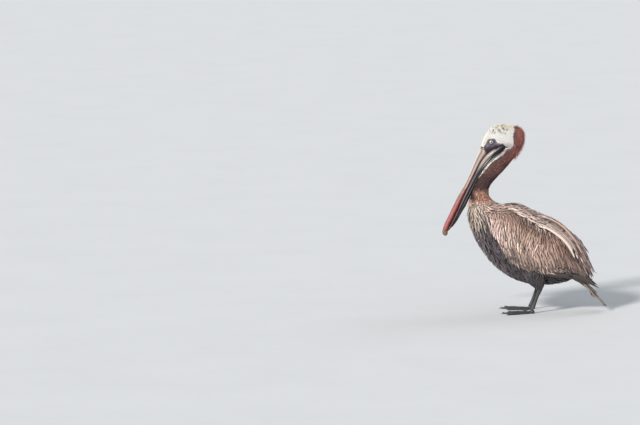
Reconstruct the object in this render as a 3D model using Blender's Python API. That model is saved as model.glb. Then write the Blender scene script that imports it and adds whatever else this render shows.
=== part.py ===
"""A brown pelican standing at rest: neck folded back, long bill laid against the foreneck, wings closed.

Metres, +Z up. The bird faces -Y, its left side is +X, and the origin lies on the floor between its feet.
Every soft form is a loft through sections that stand across its length. Each section runs from a point
on the back to a point on the belly, both in the bird's middle plane, so the outline is set directly.
"""

import math

import bmesh
import bpy
import numpy as np
from mathutils import Matrix, Vector

MM = 0.001

# Driving dimensions, in metres.
JOIN_GAP = 0.35 * MM  # clearance left wherever two pieces meet
EYE_RADIUS = 8.8 * MM
EYE_CENTRE = (23.4 * MM, -122.0 * MM, 606.0 * MM)
FOOT_SPACING = 50 * MM  # each foot's distance from the middle plane
HEEL_Y = 22 * MM
FOOT_TURN = math.radians(9)  # each foot points this much outwards
WEB_THICKNESS = 2.6 * MM
WEB_CLEARANCE = 0.5 * MM  # the web hangs this far above the floor, on the toes
CLAW_LENGTH = 12 * MM

# Where the neck is parted from the trunk and from itself: a point (y, z) and the way up the neck.
NECK_BASE_CUT = ((-160 * MM, 388 * MM), (-0.10, 1.0))
NECK_MIDDLE_CUT = ((-146 * MM, 462 * MM), (0.42, 0.9))
# Where the flight feathers' tips are parted from the wing, and which way they lie.
WING_TIP_CUT = ((196 * MM, 168 * MM), (0.72, -0.69))

# Sections of the neck and trunk, in mm: back y, z; belly y, z; half width.
BODY_SECTIONS = [
    (-20, 617, -50, 622, 18),
    (-11, 600, -60, 606, 24.5),
    (-17, 580, -68, 591, 27),
    (-43, 544, -87, 566, 27),
    (-74, 506, -117, 541, 27.5),
    (-106, 473, -149, 507, 28),
    (-125, 449, -171, 470, 28.5),
    (-130, 429, -184, 441, 29.5),
    (-126, 409, -194, 408, 33),
    (-107, 392, -202, 379, 44),
    (-80, 382, -206, 352, 60),
    (-44, 379, -203, 325, 77),
    (-4, 375, -191, 291, 90),
    (40, 360, -168, 241, 98),
    (82, 336, -134, 191, 99),
    (116, 312, -92, 148, 95),
    (145, 287, -42, 117, 86),
    (168, 258, 16, 99, 72),
    (186, 227, 70, 94, 56),
    (198, 195, 116, 99, 41),
    (207, 164, 154, 108, 29),
]

# Sections of the head, from nape to bill base, in mm: crown y, z; jaw y, z; half width.
HEAD_SECTIONS = [
    (-6, 630, -9, 604, 14),
    (-10, 643, -14, 587, 22),
    (-22, 654, -27, 575, 27),
    (-42, 661.5, -48, 572, 30.5),
    (-68, 669, -68, 579, 32.5),
    (-91, 668, -86, 588, 33),
    (-110, 662, -103, 582, 31),
    (-129, 648, -119, 571, 27.5),
    (-144, 624, -131, 561, 23.5),
    (-152, 602, -139, 553, 20.5),
    (-158.5, 579, -146, 544, 18.5),
]

# Sections of the upper bill, in mm: ridge y, z; cutting edge y, z; half width.
UPPER_BILL_SECTIONS = [
    (-150, 598, -134, 563, 20),
    (-158.5, 577.5, -144, 551, 19.5),
    (-171, 550.5, -156, 534, 18),
    (-183, 522, -167.5, 513.5, 16.5),
    (-205, 469, -192.5, 463, 15),
    (-220, 442, -206, 435, 14.3),
    (-230, 422.5, -217, 415, 14),
    (-251, 382, -234.5, 373.5, 14),
    (-270.5, 339, -255, 331, 14.3),
    (-279, 323, -264, 315, 14.2),
    (-287, 305, -271.5, 297, 12.8),
    (-290.5, 292, -276, 285, 10),
]

# Sections of the hooked nail at the bill's tip, in mm, as for the upper bill.
NAIL_SECTIONS = [
    (-285, 309, -275, 304, 4.5),
    (-289.5, 296, -274, 291, 6.8),
    (-292.5, 287, -272.5, 284, 7.5),
    (-292.5, 279, -272.5, 278, 6.8),
    (-288.5, 273.5, -274, 273.5, 5),
    (-282, 270, -277, 271, 2.2),
]

# Sections of the lower bill, in mm: cutting edge y, z; lower edge y, z; half width.
LOWER_BILL_SECTIONS = [
    (-76, 598, -70, 589, 22),
    (-92, 594, -84, 575, 26),
    (-108, 583.5, -97, 566, 25.5),
    (-122.5, 573, -111, 556, 24),
    (-135, 564, -123, 546, 22.5),
    (-147, 550.5, -134, 537, 20),
    (-157.5, 534.5, -145, 525, 18),
    (-168, 517, -155, 511, 16.5),
    (-180, 492, -168, 487, 15),
    (-194, 464, -181, 458, 14),
    (-206, 435.5, -195, 430, 13.4),
    (-220, 407, -209.5, 401, 13.3),
    (-231, 382, -221, 376.5, 13.4),
    (-241, 357, -232, 352, 13.5),
    (-255, 329, -246.5, 324, 12.5),
    (-266, 306.5, -259, 302, 10),
    (-273, 291, -268.5, 289, 6.5),
]

# Sections of the pouch, in mm: upper y, z between the jaws; lower edge y, z; half width.
POUCH_SECTIONS = [
    (-72, 592, -66, 587, 11),
    (-87, 584, -77, 574, 18),
    (-104, 573, -93, 561, 20),
    (-118, 562, -108, 549.5, 19.5),
    (-131, 550, -122, 537.5, 18),
    (-143, 536, -135, 524, 16.5),
    (-154, 519, -146, 510, 14.5),
    (-165, 498, -157, 492, 13),
    (-181, 464, -171, 465, 12),
    (-198, 432, -186, 430, 11.2),
    (-215, 400, -202, 390, 10.8),
    (-228, 374, -215, 370, 10.8),
    (-240, 350, -229, 344, 10.6),
    (-252, 326, -242, 321, 9),
    (-263, 304, -256, 300, 6),
]

# Sections round which a closed wing lies, in mm: back y, z; belly y, z; half width;
# the wing's upper and lower edge as angles down from the back, in degrees; its thickness.
WING_SECTIONS = [
    (-76, 381, -205, 348, 60, 60, 82, 3),
    (-66, 380, -206, 341, 66, 55, 92, 8),
    (-44, 379, -203, 325, 77, 51, 101, 13),
    (-4, 375, -191, 291, 90, 48, 110, 18),
    (40, 360, -168, 241, 98, 46, 116, 20),
    (82, 336, -134, 191, 99, 42, 120, 18),
    (117, 317, -92, 148, 95, 32, 123, 16),
    (150, 297, -42, 117, 86, 20, 125, 14),
    (177, 273, 16, 99, 74, 12, 124, 12),
    (199, 246, 68, 94, 60, 8, 120, 11),
    (214, 217, 112, 98, 48, 6, 113, 10),
    (224, 190, 150, 100, 39, 6, 105, 9),
    (233, 165, 186, 96, 30, 8, 98, 8),
    (246, 132, 216, 86, 22, 12, 90, 6.5),
    (264, 98, 246, 76, 14, 18, 82, 4.5),
]

WING_INNER_DEPTH = 4  # how far the wing's inner face runs inside the body's outline, in mm
WING_LEAVES_BODY = 150  # the place along the back, in mm, where the inner face starts to come out
WING_LEAVING_LENGTH = 50

# Sections of the tail fan, in mm: upper y, z; lower y, z; half width.
TAIL_SECTIONS = [
    (168, 152, 158, 118, 20),
    (188, 147, 172, 114, 27),
    (207, 122, 195, 102, 31),
    (225, 100, 218, 88, 37),
    (244, 77, 239, 69, 44),
    (262, 55, 259, 49, 50),
    (277, 37, 275, 32.5, 52),
    (287, 24.5, 285.5, 21, 47),
    (292.07, 17.5, 291.1, 15, 36),
]

# Sections of a feathered thigh, in mm: front y, z; rear y, z; half width.
THIGH_SECTIONS = [
    (-12, 150, 60, 172, 32),
    (-2, 126, 70, 146, 29),
    (14, 104, 72, 118, 21),
    (31, 92, 66, 99, 13),
    (41, 84, 61, 87, 9),
]

# Sections of a bare shank, in mm: front y, z; rear y, z; half width.
SHANK_SECTIONS = [
    (43, 92, 58, 95, 6),
    (42, 84, 60, 86, 7.6),
    (40.5, 75, 56, 77, 6.6),
    (36, 60, 48, 62, 5.0),
    (30.5, 44, 42.5, 46, 4.7),
    (24, 27, 37, 29, 5.0),
    (17, 14, 34, 17, 7.0),
]

# Toes: angle outwards from straight ahead in degrees, length and root half width in mm. The hind
# toe comes first. It points inwards, and the web takes it in as well.
TOES = [(-72, 40, 4.4), (-27, 80, 5.4), (-2, 101, 5.8), (20, 95, 5.2)]
TOE_TIP_SHARE = 0.62  # a toe's half width at its tip, as a share of its root's
WEB_SCALLOP = 0.17  # how far a web's free edge curves in between two toes
# The web's outline round the heel: angle outwards from straight ahead, and mm from the heel.
WEB_HEEL_EDGE = [(-150, 5), (150, 5), (110, 6), (24, 60)]

RING_POINTS = 20


def fresh_collections():
    """Empties the scene and returns the collection for the bird and the one for its cutters."""
    for thing in list(bpy.data.objects):
        bpy.data.objects.remove(thing)
    made = []
    for name in ("brown_pelican", "cutters"):
        made.append(bpy.data.collections.new(name))
        bpy.context.scene.collection.children.link(made[-1])
    return made


def coat(name, colour, roughness):
    """A plain coloured surface."""
    material = bpy.data.materials.new(name)
    material.use_nodes = True
    shader = material.node_tree.nodes["Principled BSDF"]
    shader.inputs["Base Color"].default_value = (*colour, 1.0)
    shader.inputs["Roughness"].default_value = roughness
    shader.inputs["Metallic"].default_value = 0.0
    return material


def smooth_rows(rows, wanted):
    """This many rows of numbers, evenly spread along a Catmull-Rom curve through the given ones."""
    rows = np.array(rows, float)
    ends = np.vstack([2 * rows[0] - rows[1], rows, 2 * rows[-1] - rows[-2]])
    made = []
    for place in np.linspace(0, len(rows) - 1, wanted):
        i = min(int(place), len(rows) - 2)
        t = place - i
        before, start, end, after = ends[i : i + 4]
        made.append(
            0.5
            * (
                2 * start
                + (end - before) * t
                + (2 * before - 5 * start + 4 * end - after) * t**2
                + (3 * start - before - 3 * end + after) * t**3
            )
        )
    return np.array(made)


def ring_of(section, squareness=2.0, count=RING_POINTS):
    """One closed section: an oval, or a squarer one, hung between its back and belly points."""
    back_y, back_z, belly_y, belly_z, half_width = section[:5]
    middle = Vector((0, (back_y + belly_y) / 2, (back_z + belly_z) / 2))
    up = Vector((0, back_y, back_z)) - middle
    ring = []
    for i in range(count):
        angle = 2 * math.pi * (i + 0.5) / count
        side, rise = math.sin(angle), math.cos(angle)
        power = 2 / squareness
        side = math.copysign(abs(side) ** power, side)
        rise = math.copysign(abs(rise) ** power, rise)
        ring.append((middle + up * rise + Vector((half_width * side, 0, 0))) * MM)
    return ring


def skin_rings(rings):
    """A closed mesh over a row of rings, each end shut by a low cone of faces."""
    shape = bmesh.new()
    loops = [[shape.verts.new(p) for p in ring] for ring in rings]
    count = len(rings[0])
    for one, other in zip(loops[:-1], loops[1:]):
        for i in range(count):
            j = (i + 1) % count
            shape.faces.new((one[i], one[j], other[j], other[i]))
    for loop in (loops[0], loops[-1]):
        middle = sum((v.co for v in loop), Vector()) / count
        tip = shape.verts.new(middle)
        for i in range(count):
            shape.faces.new((loop[i], loop[(i + 1) % count], tip))
    # Split into triangles here, so that a piece and the cutter grown from it bend at the same edges.
    bmesh.ops.triangulate(shape, faces=shape.faces[:])
    bmesh.ops.recalc_face_normals(shape, faces=shape.faces[:])
    return shape


def as_object(name, shape, collection, material=None):
    """An object from a bmesh, shaded smooth."""
    mesh = bpy.data.meshes.new(name)
    shape.to_mesh(mesh)
    shape.free()
    mesh.shade_smooth()
    made = bpy.data.objects.new(name, mesh)
    collection.objects.link(made)
    if material:
        mesh.materials.append(material)
    return made


def loft(sections, rings, squareness=2.0, count=RING_POINTS):
    """A closed bmesh through oval sections."""
    return skin_rings([ring_of(s, squareness, count) for s in smooth_rows(sections, rings)])


def mirrored(shape):
    """The same bmesh on the bird's other side."""
    other = shape.copy()
    bmesh.ops.scale(other, vec=(-1, 1, 1), verts=other.verts[:])
    bmesh.ops.reverse_faces(other, faces=other.faces[:])
    return other


def part_at(shape, cut, keep_ahead):
    """Cuts a copy of a shape at a plane across the middle plane, and keeps what lies ahead or behind."""
    (y, z), (along_y, along_z) = cut
    normal = Vector((0, along_y, along_z)).normalized()
    side = 1 if keep_ahead else -1
    kept = shape.copy()
    found = bmesh.ops.bisect_plane(
        kept,
        geom=kept.verts[:] + kept.edges[:] + kept.faces[:],
        plane_co=Vector((0, y, z)) + normal * side * JOIN_GAP / 2,
        plane_no=normal,
        clear_inner=keep_ahead,
        clear_outer=not keep_ahead,
    )
    rim = [e for e in found["geom_cut"] if isinstance(e, bmesh.types.BMEdge)]
    bmesh.ops.holes_fill(kept, edges=rim)
    bmesh.ops.recalc_face_normals(kept, faces=kept.faces[:])
    return kept


def cutter(name, shape, collection, gap=JOIN_GAP):
    """A copy of a shape, grown by the gap on every side, for cutting its neighbours."""
    grown = shape.copy()
    grown.normal_update()
    moves = [v.normal * gap * min(v.calc_shell_factor(), 2.5) for v in grown.verts]
    for vertex, move in zip(grown.verts, moves):
        vertex.co += move
    tool = as_object("cut_" + name, grown, collection)
    tool.hide_render = True
    tool.display_type = "WIRE"
    return tool


def cut_by(target, *tools):
    """Takes each tool's shape away from the target."""
    for tool in tools:
        carve = target.modifiers.new(tool.name, "BOOLEAN")
        carve.operation = "DIFFERENCE"
        carve.solver = "EXACT"
        carve.object = tool


def ball(centre, radius, segments=14, rings=8):
    """A closed sphere."""
    shape = bmesh.new()
    bmesh.ops.create_uvsphere(shape, u_segments=segments, v_segments=rings, radius=radius)
    # The poles look sideways, out of the head.
    bmesh.ops.rotate(shape, matrix=Matrix.Rotation(math.pi / 2, 3, "Y"), verts=shape.verts[:])
    bmesh.ops.translate(shape, vec=centre, verts=shape.verts[:])
    return shape


def wing_shape(side_points=8):
    """The left wing, closed: a shell that lies round the trunk, thickest at its leading edge."""
    rings = []
    for row in smooth_rows(WING_SECTIONS, 26):
        back_y, back_z, belly_y, belly_z, half_width, upper, lower, thick = row
        middle = Vector((0, (back_y + belly_y) / 2, (back_z + belly_z) / 2))
        up = Vector((0, back_y, back_z)) - middle
        # Along the body the inner face runs inside it, and past the body's end it comes out.
        past_body = min(1.0, max(0.0, (back_y - WING_LEAVES_BODY) / WING_LEAVING_LENGTH))

        def on_side(share, offset):
            angle = math.radians(upper + (lower - upper) * share)
            outward = Vector((half_width * math.sin(angle), 0, 0)) + up * math.cos(angle)
            normal = (
                Vector((math.sin(angle) * up.length, 0, 0))
                + up.normalized() * math.cos(angle) * half_width
            ).normalized()
            return (middle + outward + normal * offset) * MM

        outer, inner = [], []
        for i in range(side_points):
            share = i / (side_points - 1)
            crown = math.sin(math.pi * (0.08 + 0.84 * share)) ** 0.5
            crown *= 0.8 + 0.35 * share
            outer.append(on_side(share, thick * crown))
            inner.append(on_side(0.03 + 0.94 * share, WING_INNER_DEPTH * (past_body - 1) + 0.5 * past_body))
        rings.append(outer + inner[::-1])
    return skin_rings(rings)


def toe_frame(side):
    """The heel's place, and straight ahead and outwards on a foot, for the left (1) or right (-1) one."""
    heel = Vector((side * FOOT_SPACING, HEEL_Y, 0))
    turn = side * FOOT_TURN
    ahead = Vector((math.sin(turn), -math.cos(turn), 0))
    outward = Vector((side * math.cos(turn), side * math.sin(turn), 0))
    return heel, ahead, outward


def toe_way(side, degrees):
    """The direction of a toe that leans this far outwards."""
    _, ahead, outward = toe_frame(side)
    angle = math.radians(degrees)
    return ahead * math.cos(angle) + outward * math.sin(angle)


def web_shape(side):
    """The web between all four toes: a flat outline whose free edges curve in."""
    heel, _, _ = toe_frame(side)
    tips = [heel + toe_way(side, a) * (length + 1) * MM for a, length, _ in TOES]
    edge = [heel + toe_way(side, a) * far * MM for a, far in WEB_HEEL_EDGE]
    edge += [tips[3]]
    for start, end in ((tips[3], tips[2]), (tips[2], tips[1]), (tips[1], tips[0])):
        for share in (0.25, 0.5, 0.75):
            sag = 4 * share * (1 - share) * WEB_SCALLOP
            edge.append(start.lerp(end, share).lerp(heel, sag))
        edge.append(end)
    shape = bmesh.new()
    outline = [shape.verts.new(p + Vector((0, 0, WEB_CLEARANCE))) for p in edge]
    floor_face = shape.faces.new(outline)
    raised = bmesh.ops.extrude_face_region(shape, geom=[floor_face])
    lifted = [v for v in raised["geom"] if isinstance(v, bmesh.types.BMVert)]
    bmesh.ops.translate(shape, vec=(0, 0, WEB_THICKNESS), verts=lifted)
    bmesh.ops.recalc_face_normals(shape, faces=shape.faces[:])
    return shape


def level_bottom(shape, level):
    """Cuts a shape off at a level above the floor and closes it."""
    found = bmesh.ops.bisect_plane(
        shape,
        geom=shape.verts[:] + shape.edges[:] + shape.faces[:],
        plane_co=(0, 0, level),
        plane_no=(0, 0, 1),
        clear_inner=True,
    )
    rim = [e for e in found["geom_cut"] if isinstance(e, bmesh.types.BMEdge)]
    bmesh.ops.holes_fill(shape, edges=rim)
    bmesh.ops.recalc_face_normals(shape, faces=shape.faces[:])
    return shape


def tube_along(path, radii, count=8):
    """A closed tube whose centre follows the path, with each point's own half width and half height."""
    rings = []
    for i, point in enumerate(path):
        ahead = path[min(i + 1, len(path) - 1)] - path[max(i - 1, 0)]
        across = ahead.cross(Vector((0, 0, 1))).normalized()
        up = across.cross(ahead).normalized()
        wide, high = radii[i]
        ring = []
        for k in range(count):
            angle = 2 * math.pi * (k + 0.5) / count
            ring.append(point + across * wide * math.sin(angle) + up * high * math.cos(angle))
        rings.append(ring)
    return skin_rings(rings)


def toe_shape(side, toe):
    """A toe: low joints along a tapering finger, flat underneath."""
    angle, length, root = toe
    heel, _, _ = toe_frame(side)
    way = toe_way(side, angle)
    knuckles = 3
    path, radii = [], []
    steps = 7
    for i in range(steps):
        share = i / (steps - 1)
        taper = root * (1 - (1 - TOE_TIP_SHARE) * share)
        swell = 1 + 0.10 * math.cos(2 * math.pi * knuckles * share)
        if i == steps - 1:
            swell *= 0.6
        path.append(heel + way * (length * share - 3) * MM + Vector((0, 0, 0.72 * taper * MM)))
        radii.append((taper * swell * MM, 0.92 * taper * swell * MM))
    return tube_along(path, radii)


def claw_shape(side, toe):
    """A claw: a short curved cone that bends down towards the floor at the end of its toe."""
    angle, length, root = toe
    heel, _, _ = toe_frame(side)
    way = toe_way(side, angle)
    start = heel + way * (length - 4) * MM
    thick = root * 0.5 * MM
    path, radii = [], []
    steps = 5
    for i in range(steps):
        share = i / (steps - 1)
        rise = 0.62 * root * MM * (1 - share**1.7) + 1.0 * MM
        path.append(start + way * CLAW_LENGTH * share + Vector((0, 0, rise)))
        half = thick * (1 - share) ** 0.7 + 0.35 * MM
        radii.append((half * 0.8, half))
    return level_bottom(tube_along(path, radii, count=6), 0.3 * MM)


def joined_foot(side, name, collection, cutters, material):
    """The web with its four toes and the heel pad, made one by unions and cut level with the floor."""
    foot = as_object(name, web_shape(side), collection, material)
    heel, _, _ = toe_frame(side)
    pads = [ball(heel + Vector((0, 3 * MM, 6.2 * MM)), 8.2 * MM, 10, 7)]
    pads += [toe_shape(side, toe) for toe in TOES]
    for number, pad in enumerate(pads):
        tool = cutter(f"{name}_{number}", pad, cutters, gap=0)
        pad.free()
        join = foot.modifiers.new(tool.name, "BOOLEAN")
        join.operation = "UNION"
        join.solver = "EXACT"
        join.object = tool
    cut_by(foot, cutters.objects["cut_floor"])
    return foot


def build():
    bird, cutters = fresh_collections()
    white = coat("white_plumage", (0.86, 0.82, 0.74), 0.8)
    chestnut = coat("chestnut_plumage", (0.20, 0.07, 0.04), 0.85)
    silver = coat("silver_brown_plumage", (0.33, 0.27, 0.22), 0.8)
    dark = coat("dark_plumage", (0.05, 0.04, 0.04), 0.8)
    red_horn = coat("red_bill", (0.55, 0.16, 0.11), 0.45)
    pale_horn = coat("bill_nail", (0.55, 0.48, 0.22), 0.4)
    grey_horn = coat("grey_bill", (0.36, 0.32, 0.28), 0.45)
    leather = coat("pouch_skin", (0.03, 0.03, 0.03), 0.5)
    webbed = coat("foot_skin", (0.06, 0.06, 0.06), 0.6)
    claw_horn = coat("claw_horn", (0.03, 0.03, 0.03), 0.4)
    eye_white = coat("eye", (0.75, 0.70, 0.58), 0.1)

    body = loft(BODY_SECTIONS, 29, 2.25)
    head = loft(HEAD_SECTIONS, 14, 2.1, 16)
    upper_bill = loft(UPPER_BILL_SECTIONS, 13, 2.5, 14)
    nail = loft(NAIL_SECTIONS, 6, 2.2, 10)
    lower_bill = loft(LOWER_BILL_SECTIONS, 16, 2.6, 12)
    pouch = loft(POUCH_SECTIONS, 13, 2.0, 12)
    tail = loft(TAIL_SECTIONS, 11, 2.3, 12)
    wing = wing_shape()

    below_floor = bmesh.new()
    bmesh.ops.create_cube(below_floor, size=1.0)
    bmesh.ops.translate(below_floor, vec=(0, 0, -0.5), verts=below_floor.verts[:])
    cutter("floor", below_floor, cutters, gap=0)

    trunk = part_at(body, NECK_BASE_CUT, False)
    neck = part_at(body, NECK_BASE_CUT, True)
    cut = {
        name: cutter(name, shape, cutters)
        for name, shape in (
            ("trunk", trunk),
            ("body", body),
            ("head", head),
            ("upper_bill", upper_bill),
            ("nail", nail),
            ("lower_bill", lower_bill),
            ("pouch", pouch),
            ("tail", tail),
        )
    }

    made = as_object("upper_bill", upper_bill, bird, red_horn)
    cut_by(made, cut["nail"])
    as_object("bill_nail", nail, bird, pale_horn)
    made = as_object("pouch", pouch, bird, leather)
    cut_by(made, cut["upper_bill"], cut["nail"])
    made = as_object("lower_bill", lower_bill, bird, grey_horn)
    cut_by(made, cut["upper_bill"], cut["nail"], cut["pouch"])

    sockets = []
    for label, side in (("left", 1), ("right", -1)):
        centre = Vector((side * EYE_CENTRE[0], EYE_CENTRE[1], EYE_CENTRE[2]))
        eye = ball(centre, EYE_RADIUS)
        sockets.append(cutter("eye_" + label, eye, cutters))
        as_object("eye_" + label, eye, bird, eye_white)
    made = as_object("head", head, bird, white)
    cut_by(made, *sockets, cut["upper_bill"], cut["lower_bill"], cut["pouch"])

    for name, ahead in (("neck_upper", True), ("neck_lower", False)):
        made = as_object(name, part_at(neck, NECK_MIDDLE_CUT, ahead), bird, chestnut)
        cut_by(made, cut["pouch"], cut["lower_bill"])
        if ahead:
            cut_by(made, cut["head"])

    as_object("trunk", trunk, bird, dark)
    made = as_object("tail", tail, bird, silver)
    cut_by(made, cut["trunk"])

    wings = {"left": wing, "right": mirrored(wing)}
    for label, side in (("left", 1), ("right", -1)):
        for name, ahead in (("wing_", False), ("wing_tip_", True)):
            shape = part_at(wings[label], WING_TIP_CUT, ahead)
            made = as_object(name + label, shape, bird, silver)
            cut_by(made, cut["body"], cut["tail"])

        sideways = Matrix.Translation((side * FOOT_SPACING, 0, 0))
        thigh = loft(THIGH_SECTIONS, 7, 2.0, 12)
        shank = loft(SHANK_SECTIONS, 9, 2.2, 10)
        for leg_part in (thigh, shank):
            bmesh.ops.transform(leg_part, matrix=sideways, verts=leg_part.verts[:])
        shank_tool = cutter("shank_" + label, shank, cutters)
        made = as_object("thigh_" + label, thigh, bird, dark)
        wing_tool = cutter("wing_" + label, wings[label], cutters, gap=2 * JOIN_GAP)
        cut_by(made, cut["trunk"], wing_tool, shank_tool)
        as_object("shank_" + label, shank, bird, webbed)
        foot = joined_foot(side, "foot_" + label, bird, cutters, webbed)
        cut_by(foot, shank_tool)
        for number, toe in enumerate(TOES, start=1):
            claw = claw_shape(side, toe)
            cut_by(foot, cutter(f"claw_{label}_{number}", claw, cutters))
            as_object(f"claw_{label}_{number}", claw, bird, claw_horn)


build()
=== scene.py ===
# %% [markdown]
# # A brown pelican at rest
# The bird stands with its neck folded back and its long bill laid down against the neck. The
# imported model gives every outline. Here it gets what a museum model has: one skin under a coat of
# separate feathers, glass eyes, a horny bill with a nail, a leathery pouch and webbed feet.

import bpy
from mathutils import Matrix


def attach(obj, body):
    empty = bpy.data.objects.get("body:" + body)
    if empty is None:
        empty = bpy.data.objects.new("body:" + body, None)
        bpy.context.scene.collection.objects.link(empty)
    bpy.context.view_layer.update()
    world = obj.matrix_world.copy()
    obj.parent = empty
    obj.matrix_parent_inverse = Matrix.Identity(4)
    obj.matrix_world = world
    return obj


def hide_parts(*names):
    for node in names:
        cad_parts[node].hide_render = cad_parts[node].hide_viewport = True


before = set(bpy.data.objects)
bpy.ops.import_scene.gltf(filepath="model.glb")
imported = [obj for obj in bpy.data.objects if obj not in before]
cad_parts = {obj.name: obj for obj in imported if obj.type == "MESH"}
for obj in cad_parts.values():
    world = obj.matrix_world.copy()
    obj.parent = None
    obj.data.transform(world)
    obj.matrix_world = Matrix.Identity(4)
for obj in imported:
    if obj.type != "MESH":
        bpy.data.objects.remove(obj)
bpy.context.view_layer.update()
print("the frame holds", len(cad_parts), "nodes")

# %% Tools and units
import math

import bpy
import numpy as np
from mathutils import Vector, kdtree
from mathutils.bvhtree import BVHTree

MM = 0.001
SEED = 7
SIDES = (("left", 1), ("right", -1))  # each side, and its sign in x


def take(*things):
    """Selects these objects and nothing else, and makes the first the active one."""
    bpy.ops.object.select_all(action="DESELECT")
    for thing in things:
        thing.select_set(True)
    bpy.context.view_layer.objects.active = things[0]


class EditMode:
    """In a with block: edit mode on one mesh, with all of it selected, or what already was."""

    def __init__(self, thing, everything=True):
        self.thing, self.everything = thing, everything

    def __enter__(self):
        take(self.thing)
        bpy.ops.object.mode_set(mode="EDIT")
        if self.everything:
            bpy.ops.mesh.select_all(action="SELECT")

    def __exit__(self, *problem):
        bpy.ops.object.mode_set(mode="OBJECT")


def read(things, name, width=1, kind=np.int64):
    """What a mesh's points, edges, loops or faces hold under a name, in rows of this width."""
    values = np.empty(len(things) * width, kind)
    things.foreach_get(name, values)
    return values.reshape(-1, width) if width > 1 else values


def points_of(thing):
    """A mesh's points, one row each."""
    return read(thing.data.vertices, "co", 3, float)


def set_points(thing, points):
    """Moves a mesh's points."""
    thing.data.vertices.foreach_set("co", np.asarray(points, float).ravel())
    thing.data.update()


def side_view(points):
    """How far back and how high points lie, in mm."""
    return points[:, 1] / MM, points[:, 2] / MM


def unit(rows):
    """Each row at length one."""
    return rows / np.maximum(np.linalg.norm(rows, axis=-1, keepdims=True), 1e-12)


def fade(values, low, high):
    """Rises smoothly from 0 at low to 1 at high."""
    t = np.clip((np.asarray(values, float) - low) / (high - low), 0, 1)
    return t * t * (3 - 2 * t)


def mix(one, other, share):
    """Blends two colours or arrays of them; the share may be an array."""
    share = np.asarray(share, float)
    if share.ndim:
        share = share[:, None]
    return np.asarray(one) * (1 - share) + np.asarray(other) * share


def hump(values, middle, half_width):
    """A soft bump of height one."""
    return np.exp(-(((values - middle) / half_width) ** 2))


def paint(red, green, blue):
    """A colour as a painter reads it off a chart, 0 to 255, turned into light values."""
    c = np.array([red, green, blue]) / 255
    return np.where(c <= 0.04045, c / 12.92, ((c + 0.055) / 1.055) ** 2.4)


def rows_through(rows, wanted):
    """This many rows of numbers, evenly spread along a Catmull-Rom curve through the given ones."""
    rows = np.array(rows, float)
    ends = np.vstack([2 * rows[0] - rows[1], rows, 2 * rows[-1] - rows[-2]])
    place = np.linspace(0, len(rows) - 1, wanted)
    i = np.minimum(place.astype(int), len(rows) - 2)
    t = (place - i)[:, None]
    before, start, end, after = (ends[i + k] for k in range(4))
    return 0.5 * (
        2 * start
        + (end - before) * t
        + (2 * before - 5 * start + 4 * end - after) * t**2
        + (3 * start - before - 3 * end + after) * t**3
    )


# %% [markdown]
# ## The stage
# The bird is seen from its left, a little from above, small in a wide view. A long lens far away
# keeps its proportions true. The floor runs far past the view, and light comes from high on the
# bill's side, as a soft sun would give it.

# %% Camera, light and floor
CAMERA_PLACE = (12.4748, -0.7247, 1.8849)
CAMERA_AIM = (-0.0004, -0.7247, 0.3532)
LENS = 200  # mm, on a sensor 36 mm wide
MIDDLE = (0, 0, 0.35)
FLOOR_SIZE = 120
PAPER = (0.47, 0.475, 0.48)


def aimed(thing, aim):
    """Turns a camera or a lamp towards a point."""
    way = Vector(aim) - thing.location
    thing.rotation_euler = way.to_track_quat("-Z", "Y").to_euler()


def lamp(name, place, power, spread, colour):
    """A soft far lamp, aimed at the bird: the spread in degrees says how soft its shadows are."""
    bpy.ops.object.light_add(type="SUN", location=place)
    made = bpy.context.object
    made.name = name
    made.data.angle = math.radians(spread)
    made.data.energy = power
    made.data.color = colour
    aimed(made, MIDDLE)


bpy.ops.object.camera_add(location=CAMERA_PLACE)
camera = bpy.context.object
camera.data.lens = LENS
camera.data.clip_end = 100
aimed(camera, CAMERA_AIM)
bpy.context.scene.camera = camera
bpy.context.scene.view_settings.view_transform = "Standard"

lamp("key", (2.9, -2.3, 2.5), 4.9, 10, (1.0, 0.97, 0.93))
lamp("rear", (-2.0, 2.2, 2.0), 0.9, 40, (0.93, 0.96, 1.0))

world = bpy.data.worlds.new("studio")
bpy.context.scene.world = world
world.use_nodes = True
world.node_tree.nodes["Background"].inputs["Color"].default_value = (0.80, 0.86, 0.92, 1)
world.node_tree.nodes["Background"].inputs["Strength"].default_value = 0.7

bpy.ops.mesh.primitive_plane_add(size=FLOOR_SIZE)
floor = bpy.context.object
floor.name = "floor"
print("camera", tuple(round(v, 3) for v in camera.location), "lens", LENS)

# %% [markdown]
# ## Node helpers
# A material is a small net of nodes. `node` adds one with its settings and inputs in a single
# call, which keeps each finish short enough to read.

# %% Node helpers


def put(tree, socket, value):
    """Sets an input to a number or a colour, or links another node's output to it."""
    if isinstance(value, bpy.types.NodeSocket):
        tree.links.new(value, socket)
    else:
        socket.default_value = value


def node(tree, kind, values=None, **settings):
    """A new node with its settings, and its inputs set to numbers, colours or other outputs."""
    made = tree.nodes.new("ShaderNode" + kind)
    for key, value in settings.items():
        setattr(made, key, value)
    for key, value in (values or {}).items():
        put(tree, made.inputs[key], value)
    return made


def maths(tree, operation, *values):
    """One sum, with numbers or outputs."""
    return node(tree, "Math", dict(enumerate(values)), operation=operation).outputs[0]


def ramped(tree, value, low, high, start=0.0, end=1.0):
    """A value that runs smoothly from start at low to end at high."""
    values = {"Value": value, "From Min": low, "From Max": high, "To Min": start, "To Max": end}
    made = node(tree, "MapRange", values, interpolation_type="SMOOTHSTEP")
    return made.outputs["Result"]


def mixed(tree, share, one, other, way="MIX"):
    """One colour laid over another."""
    made = node(tree, "Mix", None, data_type="RGBA", blend_type=way)
    for key, value in (("Factor_Float", share), ("A_Color", one), ("B_Color", other)):
        put(tree, next(s for s in made.inputs if s.identifier == key), value)
    return next(s for s in made.outputs if s.identifier == "Result_Color")


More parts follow.
